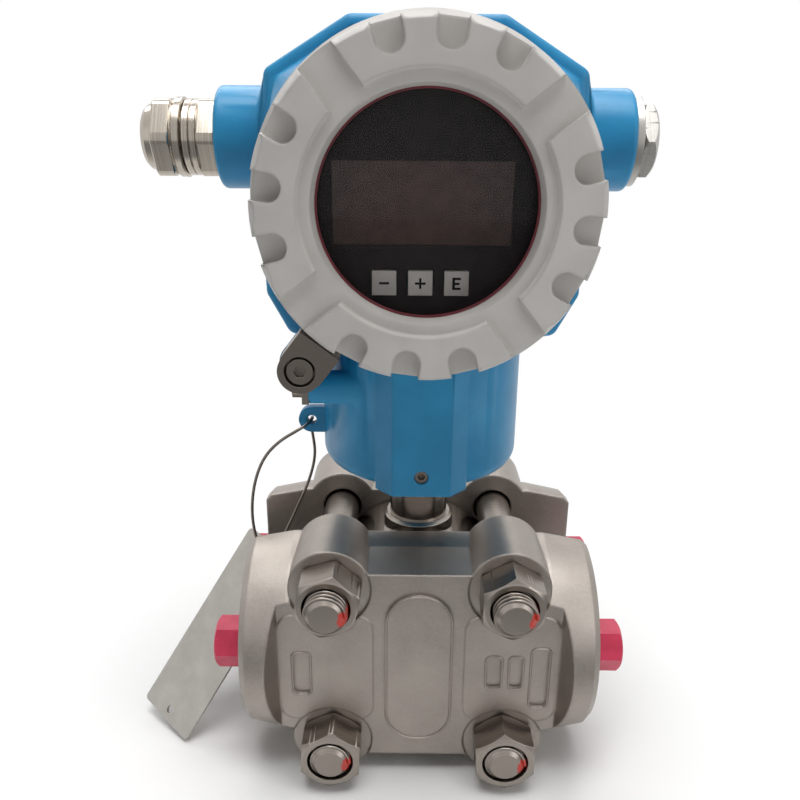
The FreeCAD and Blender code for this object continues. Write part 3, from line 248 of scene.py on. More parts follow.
world = bpy.data.worlds.new("studio")
bpy.context.scene.world = world
world.use_nodes = True
sky = world.node_tree
backdrop = sky.nodes["Background"]
along = add(sky, "ShaderNodeSeparateXYZ",
            {0: add(sky, "ShaderNodeTexCoord").outputs["Generated"]}).outputs
beside = add(sky, "ShaderNodeMapRange", {0: along["Y"], 1: ROOM_PASSES[0], 2: ROOM_PASSES[1],
                                         3: FRONT_DARK, 4: 1.0}).outputs[0]
overhead = add(sky, "ShaderNodeMapRange", {0: along["Z"], 1: CEILING_PASSES[0],
                                           2: CEILING_PASSES[1]}).outputs[0]
room = add(sky, "ShaderNodeMath", {0: beside, 1: overhead}, operation="MAXIMUM").outputs[0]
level = add(sky, "ShaderNodeMath",
            {0: room, 1: add(sky, "ShaderNodeLightPath").outputs["Is Camera Ray"]},
            operation="MAXIMUM").outputs[0]
seen = add(sky, "ShaderNodeMix", {0: shows_background(sky), 6: linear(ROOM_GREY),
                                  7: linear(STUDIO_WHITE)}, data_type="RGBA")
sky.links.new(seen.outputs[2], backdrop.inputs["Color"])
sky.links.new(level, backdrop.inputs["Strength"])
bpy.context.scene.view_settings.view_transform = "Standard"
print("floor", floor.dimensions[:])

# %% [markdown]
# Light comes mostly from above: a wide soft lamp over the instrument, a
# narrow strip behind it that draws a line along upper edges, and two weak
# lamps in front, one on each side. Each looks at the instrument's middle.

# %% Lamps
MIDDLE = at(0, 0, 85)
LAMPS = {
    "overhead": ((20, -60, 740), (0.6, 0.5), 5.6),
    "back_strip": ((-120, 420, 560), (0.8, 0.2), 1.8),
    "left_front": ((-520, -480, 300), (0.4, 0.6), 0.2),
    "right_front": ((560, -420, 300), (0.3, 0.6), 0.9),
}
for name, (spot, (wide, high), watts) in LAMPS.items():
    lamp_data = bpy.data.lights.new(name, "AREA")
    lamp_data.shape = "RECTANGLE"
    lamp_data.size, lamp_data.size_y, lamp_data.energy = wide, high, watts
    lamp = linked(name, lamp_data)
    lamp.location = at(*spot)
    lamp.rotation_euler = (lamp.location - MIDDLE).to_track_quat("Z", "Y").to_euler()
print("lamps", list(LAMPS))

# %% [markdown]
# Cast stainless steel is shot with glass beads after casting. That leaves an
# even satin skin with a fine grain and faint cloudy patches, so the metal is
# rough, its tone wanders a little over some millimetres, and its grain is a
# bump of about half a millimetre.

# %% Patches, grain and soft edges


def per_metre(size_mm):
    """The scale of a noise whose features are that many millimetres across."""
    return 1 / (size_mm * MM)


def mottle(tree, shader, place, size_mm, detail, spread, dark, light):
    """Lets the colour wander between two hex codes in patches size_mm across."""
    patches = add(tree, "ShaderNodeTexNoise", {"Vector": place, "Scale": per_metre(size_mm),
                                               "Detail": detail}).outputs[0]
    amount = add(tree, "ShaderNodeMapRange", {0: patches, 1: spread[0], 2: spread[1]}).outputs[0]
    tone = add(tree, "ShaderNodeMix", {0: amount, 6: linear(dark), 7: linear(light)},
               data_type="RGBA").outputs[2]
    tree.links.new(tone, shader.inputs["Base Color"])
    return patches, tone


def roughen(tree, shader, height, depth_mm, edge_mm=0.0):
    """Bumps the surface by a texture depth_mm high, and rounds edges by edge_mm."""
    bump = add(tree, "ShaderNodeBump", {"Height": height, "Distance": depth_mm * MM})
    if edge_mm:
        soft = add(tree, "ShaderNodeBevel", {"Radius": edge_mm * MM}, samples=6)
        tree.links.new(soft.outputs[0], bump.inputs["Normal"])
    tree.links.new(bump.outputs[0], shader.inputs["Normal"])


print("a noise of 12 mm has the scale", round(per_metre(12), 1))

# %% Cast steel
CAST_CLOUDS_MM, CAST_GRAIN_MM, CAST_GRAIN_DEEP_MM = 12, 0.7, 0.03

cast_steel, tree, shader = surface("bead_blasted_cast_stainless", Metallic=1.0)
place = add(tree, "ShaderNodeTexCoord").outputs["Object"]
_, tone = mottle(tree, shader, place, CAST_CLOUDS_MM, 5, (0.3, 0.7), "#989089", "#A69E97")
grain = add(tree, "ShaderNodeTexNoise", {"Vector": place, "Scale": per_metre(CAST_GRAIN_MM),
                                         "Detail": 3}).outputs[0]
# Painted glints: where the grain noise is high, the colour is lifted towards a pale tone, as if
# light caught the grains.
painted_glints = add(tree, "ShaderNodeMapRange", {0: grain, 1: 0.35, 2: 0.65, 3: 0.0, 4: 0.2}).outputs[0]
skin = add(tree, "ShaderNodeMix", {0: painted_glints, 6: tone, 7: linear("#C0B9B2")},
           data_type="RGBA").outputs[2]
satin = add(tree, "ShaderNodeMapRange", {0: grain, 1: 0.3, 2: 0.7, 3: 0.38, 4: 0.5}).outputs[0]
tree.links.new(skin, shader.inputs["Base Color"])
tree.links.new(satin, shader.inputs["Roughness"])
roughen(tree, shader, grain, CAST_GRAIN_DEEP_MM, edge_mm=1.1)
print(cast_steel.name)

# %% [markdown]
# The sensor's neck is turned and the bolts are cold formed. Both keep fine
# rings across their axis. A noise that changes along one axis only, with its
# scale 0 in the other two, gives such rings without a seam.

# %% Machined steel


def turned_steel(name, axis, low, high, roughness, groove_mm, depth_mm):
    """Metal from a lathe: fine rings across the axis whose scale is 1."""
    material, tree, shader = surface(name, Metallic=1.0, Roughness=roughness)
    place = add(tree, "ShaderNodeTexCoord").outputs["Object"]
    line = add(tree, "ShaderNodeMapping", {"Vector": place, "Scale": axis}).outputs[0]
    rings, _ = mottle(tree, shader, line, groove_mm, 3, (0.3, 0.7), low, high)
    roughen(tree, shader, rings, depth_mm, edge_mm=0.3)
    return material


neck_steel = turned_steel("turned_stainless_upright", (0, 0, 1), "#8F8780", "#B0A8A0",
                          0.24, 0.5, 0.02)
bolt_steel = turned_steel("cold_formed_stainless", (0, 1, 0), "#857D76", "#A39B93",
                          0.3, 0.8, 0.02)
print(neck_steel.name, bolt_steel.name)

# %% [markdown]
# Powder coat is a plastic skin baked on the cast aluminium. It is coloured
# right through, half glossy, and never quite flat: it flows into a soft
# orange peel a millimetre or two across.

# %% Powder coats
COAT_CLOUDS_MM, PEEL_MM, PEEL_DEEP_MM = 14, 1.6, 0.04


def powder_coat(name, dark, light, roughness):
    """A baked plastic coat with a soft orange peel."""
    material, tree, shader = surface(name, Roughness=roughness, IOR=1.5, Specular_IOR_Level=0.3)
    place = add(tree, "ShaderNodeTexCoord").outputs["Object"]
    mottle(tree, shader, place, COAT_CLOUDS_MM, 3, (0.35, 0.65), dark, light)
    peel = add(tree, "ShaderNodeTexNoise", {"Vector": place, "Scale": per_metre(PEEL_MM),
                                            "Detail": 1}).outputs[0]
    roughen(tree, shader, peel, PEEL_DEEP_MM, edge_mm=1.0)
    return material


blue_coat = powder_coat("blue_powder_coat", "#217BA8", "#2786B4", 0.34)
grey_coat = powder_coat("warm_grey_powder_coat", "#B9B6B2", "#C2BFBB", 0.42)
print(blue_coat.name, grey_coat.name)

# %% [markdown]
# The small metals are nickel plate on turned brass, a turned steel plug,
# zinc-plated screws, and foil and sheet from the rolling mill. The turned ones
# take the rings of the lathe. Sheet keeps long strokes from the rolls, so its
# noise is drawn out along z.

# %% Small metals
nickel = turned_steel("nickel_plated_brass", (1, 0, 0), "#A39B90", "#C0B8AD", 0.16, 0.6, 0.01)
plug_metal = turned_steel("turned_plug_steel", (1, 0, 0), "#A3A19C", "#BFBDB8", 0.34, 0.5, 0.02)
screw_zinc = turned_steel("zinc_plated_steel", (0, 1, 0), "#766E67", "#8F8780", 0.36, 0.5, 0.02)
foil = turned_steel("rolled_stainless_foil", (0.3, 0.3, 1), "#AFAAA4", "#C4C0BA", 0.22, 1.2, 0.01)

STROKE_MM, STROKE_DEEP_MM, SMEAR_MM = 0.7, 0.01, 7
ALONG_THE_ROLLS = (1, 1, 0.06)

sheet_steel, tree, shader = surface("matt_rolled_stainless_sheet", Metallic=1.0)
place = add(tree, "ShaderNodeTexCoord").outputs["Object"]
drawn = add(tree, "ShaderNodeMapping", {"Vector": place, "Scale": ALONG_THE_ROLLS}).outputs[0]
strokes = add(tree, "ShaderNodeTexNoise", {"Vector": drawn, "Scale": per_metre(STROKE_MM),
                                           "Detail": 4}).outputs[0]
mottle(tree, shader, place, SMEAR_MM, 3, (0.35, 0.7), "#AEAAA4", "#BAB6B0")
satin = add(tree, "ShaderNodeMapRange", {0: strokes, 1: 0.3, 2: 0.7, 3: 0.34, 4: 0.52}).outputs[0]
tree.links.new(satin, shader.inputs["Roughness"])
roughen(tree, shader, strokes, STROKE_DEEP_MM)
print(nickel.name, plug_metal.name, screw_zinc.name, foil.name, sheet_steel.name)

# %% [markdown]
# The rest is moulded: polyethylene plugs that close the ports in transit, the
# bezel and keys of the display, rubber and silicone seals. A mould leaves its
# own fine texture on a piece, and the pigment is never quite even, so one
# function gives each of them both.

# %% Plastics, rubbers and glass
PIGMENT_MM = 5


def moulded(name, dark, light, roughness, grain_mm, depth_mm, **sockets):
    """A moulded plastic or rubber with the fine texture of its mould."""
    material, tree, shader = surface(name, Roughness=roughness, IOR=1.5, **sockets)
    place = add(tree, "ShaderNodeTexCoord").outputs["Object"]
    mottle(tree, shader, place, PIGMENT_MM, 3, (0.35, 0.65), dark, light)
    texture = add(tree, "ShaderNodeTexNoise", {"Vector": place, "Scale": per_metre(grain_mm),
                                               "Detail": 2}).outputs[0]
    roughen(tree, shader, texture, depth_mm)
    return material


port_plastic = moulded("raspberry_polyethylene", "#BC2C4C", "#CA3859", 0.4, 0.8, 0.04,
                       Subsurface_Weight=0.1)
bezel_plastic = moulded("black_textured_abs", "#1F1B1C", "#262122", 0.5, 0.5, 0.003,
                        Specular_IOR_Level=0.25)
key_plastic = moulded("off_white_key_plastic", "#D9D5CE", "#E2DED8", 0.45, 0.5, 0.02)
screen_glass = moulded("unlit_crystal_display", "#48342D", "#523C34", 0.14, 4, 0.003)
board_mask = moulded("green_solder_mask", "#1C5436", "#246342", 0.3, 1.2, 0.03)
module_case = moulded("potted_module_case", "#29292C", "#333336", 0.5, 0.6, 0.04)
terminal_plastic = moulded("grey_polyamide", "#565D57", "#646B65", 0.5, 0.6, 0.04)
black_rubber = moulded("moulded_nitrile_rubber", "#1A1A1C", "#232325", 0.6, 0.5, 0.03)
red_silicone = moulded("red_silicone_gasket", "#5E1F27", "#6C2730", 0.5, 0.8, 0.02)
white_seal = moulded("pressed_ptfe", "#D5D1C9", "#DEDAD3", 0.4, 1, 0.02)

# Toughened glass is nearly clear. Alpha lets the light through both faces
# and leaves a faint mirror of the room.
window_pane, _, _ = surface("toughened_window_glass", Base_Color=linear("#1A1516"),
                            Roughness=0.03, IOR=1.5, Alpha=0.14)
print("plastics and glass made, the pane is", window_pane.name)

# %% [markdown]
# The housing and the covers are die castings. Their solids are drawn with few
# faces. Here a merged copy of each is drawn closer to the casting by moving
# its points by rule: the eight-sided body thins towards its rim, as a casting
# needs to leave its mould, the arms end a little sooner, and the window's
# opening closes in on the glass.

# %% Shaped copies of the castings
HEAD_LEVEL = 139.7
SAME_POINT_MM = 0.002


def shaped_copy(node, body, move):
    """A merged copy of a solid whose points are moved by move(x, y, z), in millimetres."""
    piece = linked(node + "_cast", nodes[node].data.copy())
    net = bmesh.new()
    net.from_mesh(piece.data)
    bmesh.ops.remove_doubles(net, verts=net.verts, dist=SAME_POINT_MM * MM)
    for vert in net.verts:
        vert.co = at(*move(*(vert.co / MM - NECK_FOOT)))
    net.to_mesh(piece.data)
    net.free()
    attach(piece, body)
    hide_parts(node)
    return piece


def stretch(value, pairs):
    """Moves a value between given (old, new) pairs, in proportion between them."""
    for (low, new_low), (high, new_high) in zip(pairs, pairs[1:]):
        if value <= high:
            return new_low + (value - low) * (new_high - new_low) / (high - low)
    return value + pairs[-1][1] - pairs[-1][0]


print("points nearer than", SAME_POINT_MM, "mm are merged")

# %% [markdown]
# Each rule below first finds its part of the piece by a distance: from the
# line of the arms, from the neck's axis, or from the axis of the window.
# The chamber, the neck and the seats of the locks stay put. Where the arms end
# sooner, the blanking plug moves with its arm.

# %% Rules for the castings
ARM_LINE = (4.0, 154.0)
ARM_RADIUS, ARM_OUT_FROM, ARM_SHORTER = 14.8, 55, 2.5
NECK_RADIUS, NECK_BELOW = 31.4, 112
LOCK_BEYOND = 26.3
CHAMBER_RADIUS, BODY_ABOVE = 44.8, 95
UPPER_FROM, LOWER_TO = 160, 120
UPPER_WIDTH, LOWER_WIDTH, RIM_DEPTH = 0.95, 0.96, 0.5
CROWN = ((160, 160), (188, 186))

HEM, HEM_WIDER = 44, 45.0
NOTCH_FLOOR, NOTCH_RISE = (41.2, 41.6), 0.8
OPENING, OPENING_CLOSER, COVER_FRONT = (28, 29.8), 1.3, -40
GASKET_WITHIN, GASKET_EDGE = 30, 26.9
PLUG_STATIONS = ((0, -2.5), (62, 59.5), (63.5, 61.5), (67, 66.5))
BOLT_ACROSS, BOLT_HIGH = 27, 27.5
NUT_FRONT, NUT_THREAD, COUNTERSINK = -49, 6.3, 7.1


def from_window_axis(x, z, new_radius):
    """The point moved to a new distance from the window's axis."""
    out = math.hypot(x, z - HEAD_LEVEL)
    factor = new_radius / out if out > 1 else 1
    return x * factor, HEAD_LEVEL + (z - HEAD_LEVEL) * factor


def housing_shape(x, y, z):
    """Thins the body towards its rim and shortens the two arms."""
    on_arm = math.hypot(y - ARM_LINE[0], z - ARM_LINE[1]) < ARM_RADIUS
    if on_arm and abs(x) > ARM_OUT_FROM:
        return x - math.copysign(ARM_SHORTER, x), y, z
    on_neck = math.hypot(x, y) < NECK_RADIUS and z < NECK_BELOW
    in_chamber = math.hypot(x, z - HEAD_LEVEL) < CHAMBER_RADIUS
    by_lock = abs(y) > LOCK_BEYOND
    if in_chamber or z < BODY_ABOVE or on_arm or on_neck or by_lock:
        return x, y, z
    if z > UPPER_FROM:
        x, z = x * UPPER_WIDTH, stretch(z, CROWN)
    elif z < LOWER_TO:
        x = x * LOWER_WIDTH
    return x, y * RIM_DEPTH, z


def cover_shape(x, y, z):
    """Widens the hem, closes the window's opening a little and fills the notches."""
    out = math.hypot(x, z - HEAD_LEVEL)
    new = out
    if abs(out - HEM) < 0.1:
        new = HEM_WIDER
    elif NOTCH_FLOOR[0] < out < NOTCH_FLOOR[1]:
        new = out + NOTCH_RISE
    elif y < COVER_FRONT and OPENING[0] < out < OPENING[1]:
        new = out - OPENING_CLOSER
    x, z = from_window_axis(x, z, new)
    return x, y, z


def gasket_shape(x, y, z):
    """Lets the gasket show as a thin line inside the opening."""
    out = math.hypot(x, z - HEAD_LEVEL)
    x, z = from_window_axis(x, z, GASKET_EDGE if out < GASKET_WITHIN else out)
    return x, y, z


def plug_shape(x, y, z):
    """Moves the blanking plug with its arm and makes its hexagon taller."""
    return stretch(x, PLUG_STATIONS), y, z


def nut_shape(x, y, z):
    """Opens the front of a nut's thread to a dark countersink."""
    middle_x, middle_z = math.copysign(BOLT_ACROSS, x), math.copysign(BOLT_HIGH, z)
    out = math.hypot(x - middle_x, z - middle_z)
    factor = COUNTERSINK / out if y < NUT_FRONT and out < NUT_THREAD else 1
    return middle_x + (x - middle_x) * factor, y, middle_z + (z - middle_z) * factor


nuts = shaped_copy("clamp_nuts", "pressure_end", nut_shape)
housing = shaped_copy("housing", "head", housing_shape)
front_cover = shaped_copy("front_cover", "front_cover", cover_shape)
rear_cover = shaped_copy("rear_cover", "rear_cover", cover_shape)
gasket = shaped_copy("window_gasket", "front_cover", gasket_shape)
blank_plug = shaped_copy("blanking_plug", "head", plug_shape)
print("castings", [len(p.data.polygons) for p in (housing, front_cover, rear_cover)])

# %% [markdown]
# The cable gland is turned from brass bar and nickel-plated. It is a stack of
# round and six-sided lengths on one line, so each part is one closed skin over
# a list of stations. A station gives the place along the arm, the radius (half
# across the flats of a hexagon) and the number of sides.

# %% Cable gland
ROUND, HEXAGON = 0, 6
RING_POINTS = 96
CORNERS_TURNED_OFF = 1.1
GLAND_BORE, DOME_BORE = 4.5, 4.6


def ring_at(net, x, reach_at):
    """A ring of points round the line of the arms, reach_at(angle) out from it."""
    angles = [2 * math.pi * i / RING_POINTS for i in range(RING_POINTS)]
    return [net.verts.new(at(x, ARM_LINE[0] + reach_at(angle) * math.sin(angle),
                             ARM_LINE[1] + reach_at(angle) * math.cos(angle)))
            for angle in angles]


def outline_reach(radius, sides):
    """How far out a round or many-sided outline is, as a function of the angle."""
    if not sides:
        return lambda angle: radius
    half = math.pi / sides

    def reach(angle):
        turn = (angle + half) % (2 * half) - half
        return min(radius / math.cos(turn), radius * CORNERS_TURNED_OFF)
    return reach


def turned_stack(name, stations, bore, body, node):
    """A bored piece along -X through (x, radius, sides) stations."""
    net = bmesh.new()
    rings = [ring_at(net, x, outline_reach(radius, sides)) for x, radius, sides in stations]
    for x in (stations[-1][0], stations[0][0]):
        rings.append(ring_at(net, x, outline_reach(bore, ROUND)))
    for ring, following in zip(rings, rings[1:] + rings[:1]):
        for i in range(RING_POINTS):
            j = (i + 1) % RING_POINTS
            net.faces.new((ring[i], ring[j], following[j], following[i]))
    bmesh.ops.recalc_face_normals(net, faces=net.faces)
    mesh = bpy.data.meshes.new(name)
    net.to_mesh(mesh)
    net.free()
    piece = linked(name, mesh)
    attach(piece, body)
    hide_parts(node)
    return piece


gland_base = turned_stack("gland_base", [
    (-47.5, 9.6, ROUND), (-59.5, 9.6, ROUND), (-59.5, 10.2, HEXAGON), (-59.9, 10.75, HEXAGON),
    (-64.6, 10.75, HEXAGON), (-65.0, 10.2, HEXAGON), (-65.0, 10.3, ROUND), (-65.3, 10.8, ROUND),
    (-66.8, 10.8, ROUND), (-67.1, 10.2, ROUND), (-67.4, 10.8, ROUND), (-69.0, 10.8, ROUND),
    (-69.3, 10.3, ROUND), (-69.3, 9.0, ROUND), (-78.3, 9.0, ROUND),
], GLAND_BORE, "head", "gland_body")
gland_dome = turned_stack("gland_dome", [
    (-69.6, 10.6, ROUND), (-69.9, 11.3, ROUND), (-71.7, 11.3, ROUND), (-72.2, 10.6, ROUND),
    (-72.5, 10.3, HEXAGON), (-72.9, 10.75, HEXAGON), (-77.6, 10.75, HEXAGON),
    (-78.0, 10.3, HEXAGON), (-78.2, 9.9, ROUND), (-80.2, 9.2, ROUND), (-81.3, 8.2, ROUND),
    (-81.7, 7.4, ROUND),
], DOME_BORE, "gland_nut", "gland_dome_nut")
print("gland faces", len(gland_base.data.polygons), len(gland_dome.data.polygons))

# %% [markdown]
# Rolled threads stand out of the four nuts. One ridge of a thread is a line
# wound round the bolt, so a node tree winds a spiral with the thread's pitch,
# gives it a four-sided section and sets a copy on each bolt's tip.

# %% Threads on the bolt tips
UPPER_TIP, LOWER_TIP, FIRST_TURN = -54.5, -51.0, 0.9
TIPS = [(side * BOLT_ACROSS, tip + FIRST_TURN, end * BOLT_HIGH)
        for tip, end in ((UPPER_TIP, 1), (LOWER_TIP, -1)) for side in (-1, 1)]


def node_group(name, sizes):
    """A new Geometry Nodes tree with a mesh in, a mesh out and named sizes."""
    tree = bpy.data.node_groups.new(name, "GeometryNodeTree")
    tree.interface.new_socket("Geometry", in_out="INPUT", socket_type="NodeSocketGeometry")
    for label, value in sizes.items():
        socket = tree.interface.new_socket(label, in_out="INPUT", socket_type="NodeSocketFloat")
        socket.default_value = value
    tree.interface.new_socket("Geometry", in_out="OUTPUT", socket_type="NodeSocketGeometry")
    return tree, add(tree, "NodeGroupInput").outputs


def set_on_spots(tree, sizes, form, turn, material):
    """Ends a tree: turns a form about X, sets it on each spot and makes it a mesh."""
    laid = add(tree, "GeometryNodeTransform", {0: form, "Rotation": (turn, 0, 0)})
    copies = add(tree, "GeometryNodeInstanceOnPoints", {0: sizes["Geometry"],
                                                        2: laid.outputs[0]})
    solid = add(tree, "GeometryNodeRealizeInstances", {0: copies.outputs[0]})
    coated = add(tree, "GeometryNodeSetMaterial", {0: solid.outputs[0], "Material": material})
    add(tree, "NodeGroupOutput", {0: coated.outputs[0]})


tree, sizes = node_group("rolled_thread", {"Radius": 5.95 * MM, "Pitch": 1.75 * MM,
                                           "Turns": 4.0, "Ridge": 0.55 * MM})
rise = add(tree, "ShaderNodeMath", {0: sizes["Pitch"], 1: sizes["Turns"]},
           operation="MULTIPLY").outputs[0]
spiral = add(tree, "GeometryNodeCurveSpiral",
             {"Resolution": 40, "Rotations": sizes["Turns"], "Start Radius": sizes["Radius"],
              "End Radius": sizes["Radius"], "Height": rise})
section = add(tree, "GeometryNodeCurvePrimitiveCircle",
              {"Resolution": 4, "Radius": sizes["Ridge"]})
ridge = add(tree, "GeometryNodeCurveToMesh", {0: spiral.outputs[0], 1: section.outputs[0],
                                              "Fill Caps": True})
set_on_spots(tree, sizes, ridge.outputs[0], -math.pi / 2, bolt_steel)


def grown(name, spots, tree, chosen=None):
    """The plain mesh that a node tree grows on a list of spots, with chosen sizes."""
    seed = bpy.data.meshes.new(name + "_spots")
    seed.from_pydata([at(*spot) for spot in spots], [], [])
    piece = linked(name, seed)
    modifier = piece.modifiers.new("nodes", "NODES")
    modifier.node_group = tree
    for item in tree.interface.items_tree:
        if item.name in (chosen or {}):
            modifier[item.identifier] = chosen[item.name]
    bpy.context.view_layer.update()
    result = bpy.data.meshes.new_from_object(
        piece.evaluated_get(bpy.context.evaluated_depsgraph_get()))
    piece.modifiers.clear()
    piece.data = result
    return piece


threads = grown("bolt_threads", TIPS, tree)
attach(threads, "pressure_end")
print("thread faces", len(threads.data.polygons))

# %% [markdown]
# A foundry frames the panel and the mark fields of a casting with a raised
# bead. A bead is a rounded rectangle with a round section, so a second tree
# draws one from its width, height and corner, and sets it on both flanges.

# %% Cast beads on the flanges
BEAD_FACE, PANEL_FACE = 40.5, 40.8
BEADS = {
    "panel": (0, 0, 20, 52, 9.5, PANEL_FACE),
    "left_mark": (-36, -2, 5.6, 15.6, 1.6, BEAD_FACE),
    "first_mark": (23.2, -1, 5, 12, 1.6, BEAD_FACE),
    "second_mark": (30, -1, 4.4, 12, 1.6, BEAD_FACE),
    "long_mark": (37.4, -3, 5.8, 22, 1.6, BEAD_FACE),
}

tree, sizes = node_group("cast_bead", {"Width": 20 * MM, "Height": 50 * MM,
                                       "Corner": 2 * MM, "Bead": 0.4 * MM})
frame_line = add(tree, "GeometryNodeCurvePrimitiveQuadrilateral",
                 {"Width": sizes["Width"], "Height": sizes["Height"]})
soft_line = add(tree, "GeometryNodeFilletCurve",
                {"Curve": frame_line.outputs[0], "Radius": sizes["Corner"], "Count": 8,
                 "Limit Radius": True}, mode="POLY")
section = add(tree, "GeometryNodeCurvePrimitiveCircle",
              {"Resolution": 10, "Radius": sizes["Bead"]})
bead = add(tree, "GeometryNodeCurveToMesh", {0: soft_line.outputs[0], 1: section.outputs[0]})
set_on_spots(tree, sizes, bead.outputs[0], math.pi / 2, cast_steel)

for name, (across, level, width, height, corner, face) in BEADS.items():
    bead_piece = grown("bead_" + name, [(across, -face, level), (-across, face, level)], tree,
                       {"Width": width * MM, "Height": height * MM, "Corner": corner * MM})
    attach(bead_piece, "pressure_end")
print("beads", list(BEADS))

# %% [markdown]
# Each key carries its sign as a thin printed bar or two: minus, plus and E
# for enter. The bars stand a twentieth of a millimetre proud, which is how
# thick screen ink lies.

# %% Key signs
KEY_MIDDLES = {"key_minus": -10.7, "key_plus": -1.3, "key_enter": 8.1}
KEY_LEVEL, KEY_FACE = 119.5, -38.7
INK = 0.05
BOX_SIDES = ((0, 1, 3, 2), (4, 6, 7, 5), (0, 4, 5, 1), (2, 3, 7, 6), (0, 2, 6, 4), (1, 5, 7, 3))
SIGNS = {
    "key_minus": [(-1.3, -0.3, 2.6, 0.6)],
    "key_plus": [(-1.4, -0.3, 2.8, 0.6), (-0.3, -1.4, 0.6, 2.8)],
    "key_enter": [(-1.1, -1.6, 0.7, 3.2), (-1.1, 1.0, 2.2, 0.6), (-1.1, -0.3, 1.9, 0.6),
                  (-1.1, -1.6, 2.2, 0.6)],
}


def printed(name, bars, across, level, face):
    """Thin bars of ink on an upright face: each (left, low, wide, high)."""
    net = bmesh.new()
    for left, low, wide, high in bars:
        spots = [at(across + left + wide * i, face - INK * j, level + low + high * k)
                 for i in (0, 1) for j in (0, 1) for k in (0, 1)]
        corner = [net.verts.new(spot) for spot in spots]
        for side in BOX_SIDES:
            net.faces.new([corner[i] for i in side])
    bmesh.ops.recalc_face_normals(net, faces=net.faces)
    mesh = bpy.data.meshes.new(name)
    net.to_mesh(mesh)
    net.free()
    return linked(name, mesh)


signs = []
for key, bars in SIGNS.items():
    sign = printed(key + "_sign", bars, KEY_MIDDLES[key], KEY_LEVEL, KEY_FACE)
    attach(sign, key)
    signs.append(sign)
print("signs", [sign.name for sign in signs])

# %% [markdown]
# When the bolts are tight, the fitter puts a stroke of red marking paint
# across tip and nut on the right-hand side. The paint is part of the bolts'
# material: a soft-edged spot that repeats with the bolts' pitch.

# %% Red fitter's marks
BOLT_PITCH = (2 * BOLT_ACROSS, 2 * BOLT_HIGH)
MARK_OFFSET, MARK_SIZE = (5.2, -0.4), (1.6, 2.6)
MARK_EDGE, RAGGED_MM, RAGGED_BY = (1.25, 0.8), 1.5, 0.4
NUTS_BEFORE = -45

tree = bolt_steel.node_tree
shader = tree.nodes["Principled BSDF"]
steel_colour = shader.inputs["Base Color"].links[0].from_socket
place = add(tree, "ShaderNodeTexCoord").outputs["Object"]
spot = add(tree, "ShaderNodeSeparateXYZ", {0: place}).outputs
ways = []
for axis, centre, pitch, offset, reach in zip(
        "XZ", (at(BOLT_ACROSS, 0, 0).x, at(0, 0, BOLT_HIGH).z), BOLT_PITCH, MARK_OFFSET,
        MARK_SIZE):
    shift = add(tree, "ShaderNodeMath", {0: spot[axis], 1: centre + offset * MM},
                operation="SUBTRACT").outputs[0]
    near = add(tree, "ShaderNodeMath", {0: shift, 1: pitch * MM / 2, 2: -pitch * MM / 2},
               operation="WRAP").outputs[0]
    part = add(tree, "ShaderNodeMath", {0: near, 1: reach * MM}, operation="DIVIDE").outputs[0]
    ways.append(add(tree, "ShaderNodeMath", {0: part, 1: part}, operation="MULTIPLY").outputs[0])
bristles = add(tree, "ShaderNodeTexNoise", {"Vector": place, "Scale": per_metre(RAGGED_MM),
                                            "Detail": 3}).outputs[0]
ragged = add(tree, "ShaderNodeMapRange", {0: bristles, 1: 0.3, 2: 0.7, 3: -RAGGED_BY,
                                          4: RAGGED_BY}).outputs[0]
away = add(tree, "ShaderNodeMath", {0: ways[0], 1: ways[1]}, operation="ADD").outputs[0]
away = add(tree, "ShaderNodeMath", {0: away, 1: ragged}, operation="ADD").outputs[0]
painted = add(tree, "ShaderNodeMapRange", {0: away, 1: MARK_EDGE[0],
                                           2: MARK_EDGE[1]}).outputs[0]
in_front = add(tree, "ShaderNodeMath", {0: spot["Y"], 1: at(0, NUTS_BEFORE, 0).y},
               operation="LESS_THAN").outputs[0]
painted = add(tree, "ShaderNodeMath", {0: painted, 1: in_front}, operation="MULTIPLY").outputs[0]
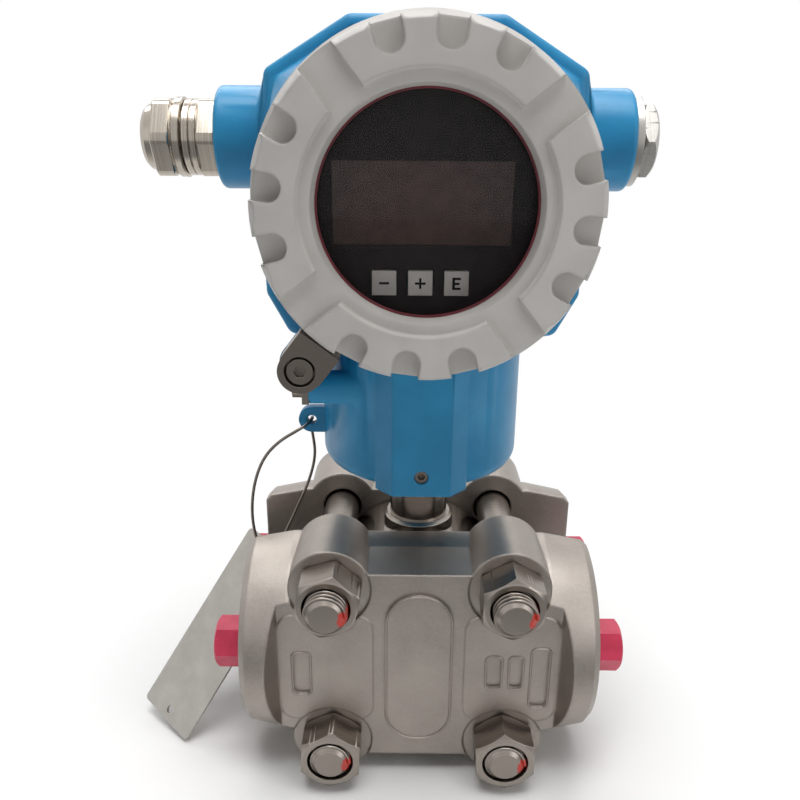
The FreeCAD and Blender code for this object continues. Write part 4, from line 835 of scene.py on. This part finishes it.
marked = add(tree, "ShaderNodeMix", {0: painted, 6: steel_colour, 7: linear("#C23A30")},
             data_type="RGBA").outputs[2]
bare = add(tree, "ShaderNodeMapRange", {0: painted, 1: 0.0, 2: 1.0, 3: 1.0, 4: 0.0}).outputs[0]
tree.links.new(marked, shader.inputs["Base Color"])
tree.links.new(bare, shader.inputs["Metallic"])
print("marks at", MARK_OFFSET)

# %% [markdown]
# Every piece is one material through and through, so a table says which: first
# for the solids of the construction model that are shown as they are, then for
# the pieces that were made above. The threads and beads have theirs already,
# from the last nodes of their trees.

# %% Finishes
SOLIDS = {
    cast_steel: ("front_flange", "rear_flange"),
    neck_steel: ("sensor_cell",),
    bolt_steel: ("clamp_bolts", "earth_clamp", "earth_screw"),
    foil: ("front_diaphragm", "rear_diaphragm"),
    white_seal: ("front_flange_seal", "rear_flange_seal"),
    port_plastic: ("port_plugs",),
    black_rubber: ("neck_seal", "front_cover_seal", "rear_cover_seal", "gland_rubber"),
    screw_zinc: ("neck_set_screw", "window_retaining_ring", "terminal_screws", "front_lock",
                 "front_lock_screw", "rear_lock", "rear_lock_screw"),
    window_pane: ("window_glass",),
    bezel_plastic: ("display_bezel",),
    screen_glass: ("lcd_panel",),
    key_plastic: ("key_minus", "key_plus", "key_enter"),
    board_mask: ("display_board",),
    module_case: ("electronics_module",),
    terminal_plastic: ("terminal_block",),
    sheet_steel: ("tag_plate",),
}
OWN_PIECES = {
    screw_zinc: (wire,),
    bolt_steel: (nuts,),
    blue_coat: (housing,),
    grey_coat: (front_cover, rear_cover),
    red_silicone: (gasket,),
    plug_metal: (blank_plug,),
    nickel: (gland_base, gland_dome),
    bezel_plastic: signs,
}

dressed = [(material, nodes[name]) for material, names in SOLIDS.items() for name in names]
dressed += [(material, piece) for material, pieces in OWN_PIECES.items() for piece in pieces]
for material, piece in dressed:
    piece.data.materials.clear()
    piece.data.materials.append(material)
print("dressed", len(dressed), "pieces")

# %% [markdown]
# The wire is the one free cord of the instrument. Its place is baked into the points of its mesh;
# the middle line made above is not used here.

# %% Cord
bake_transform(wire)
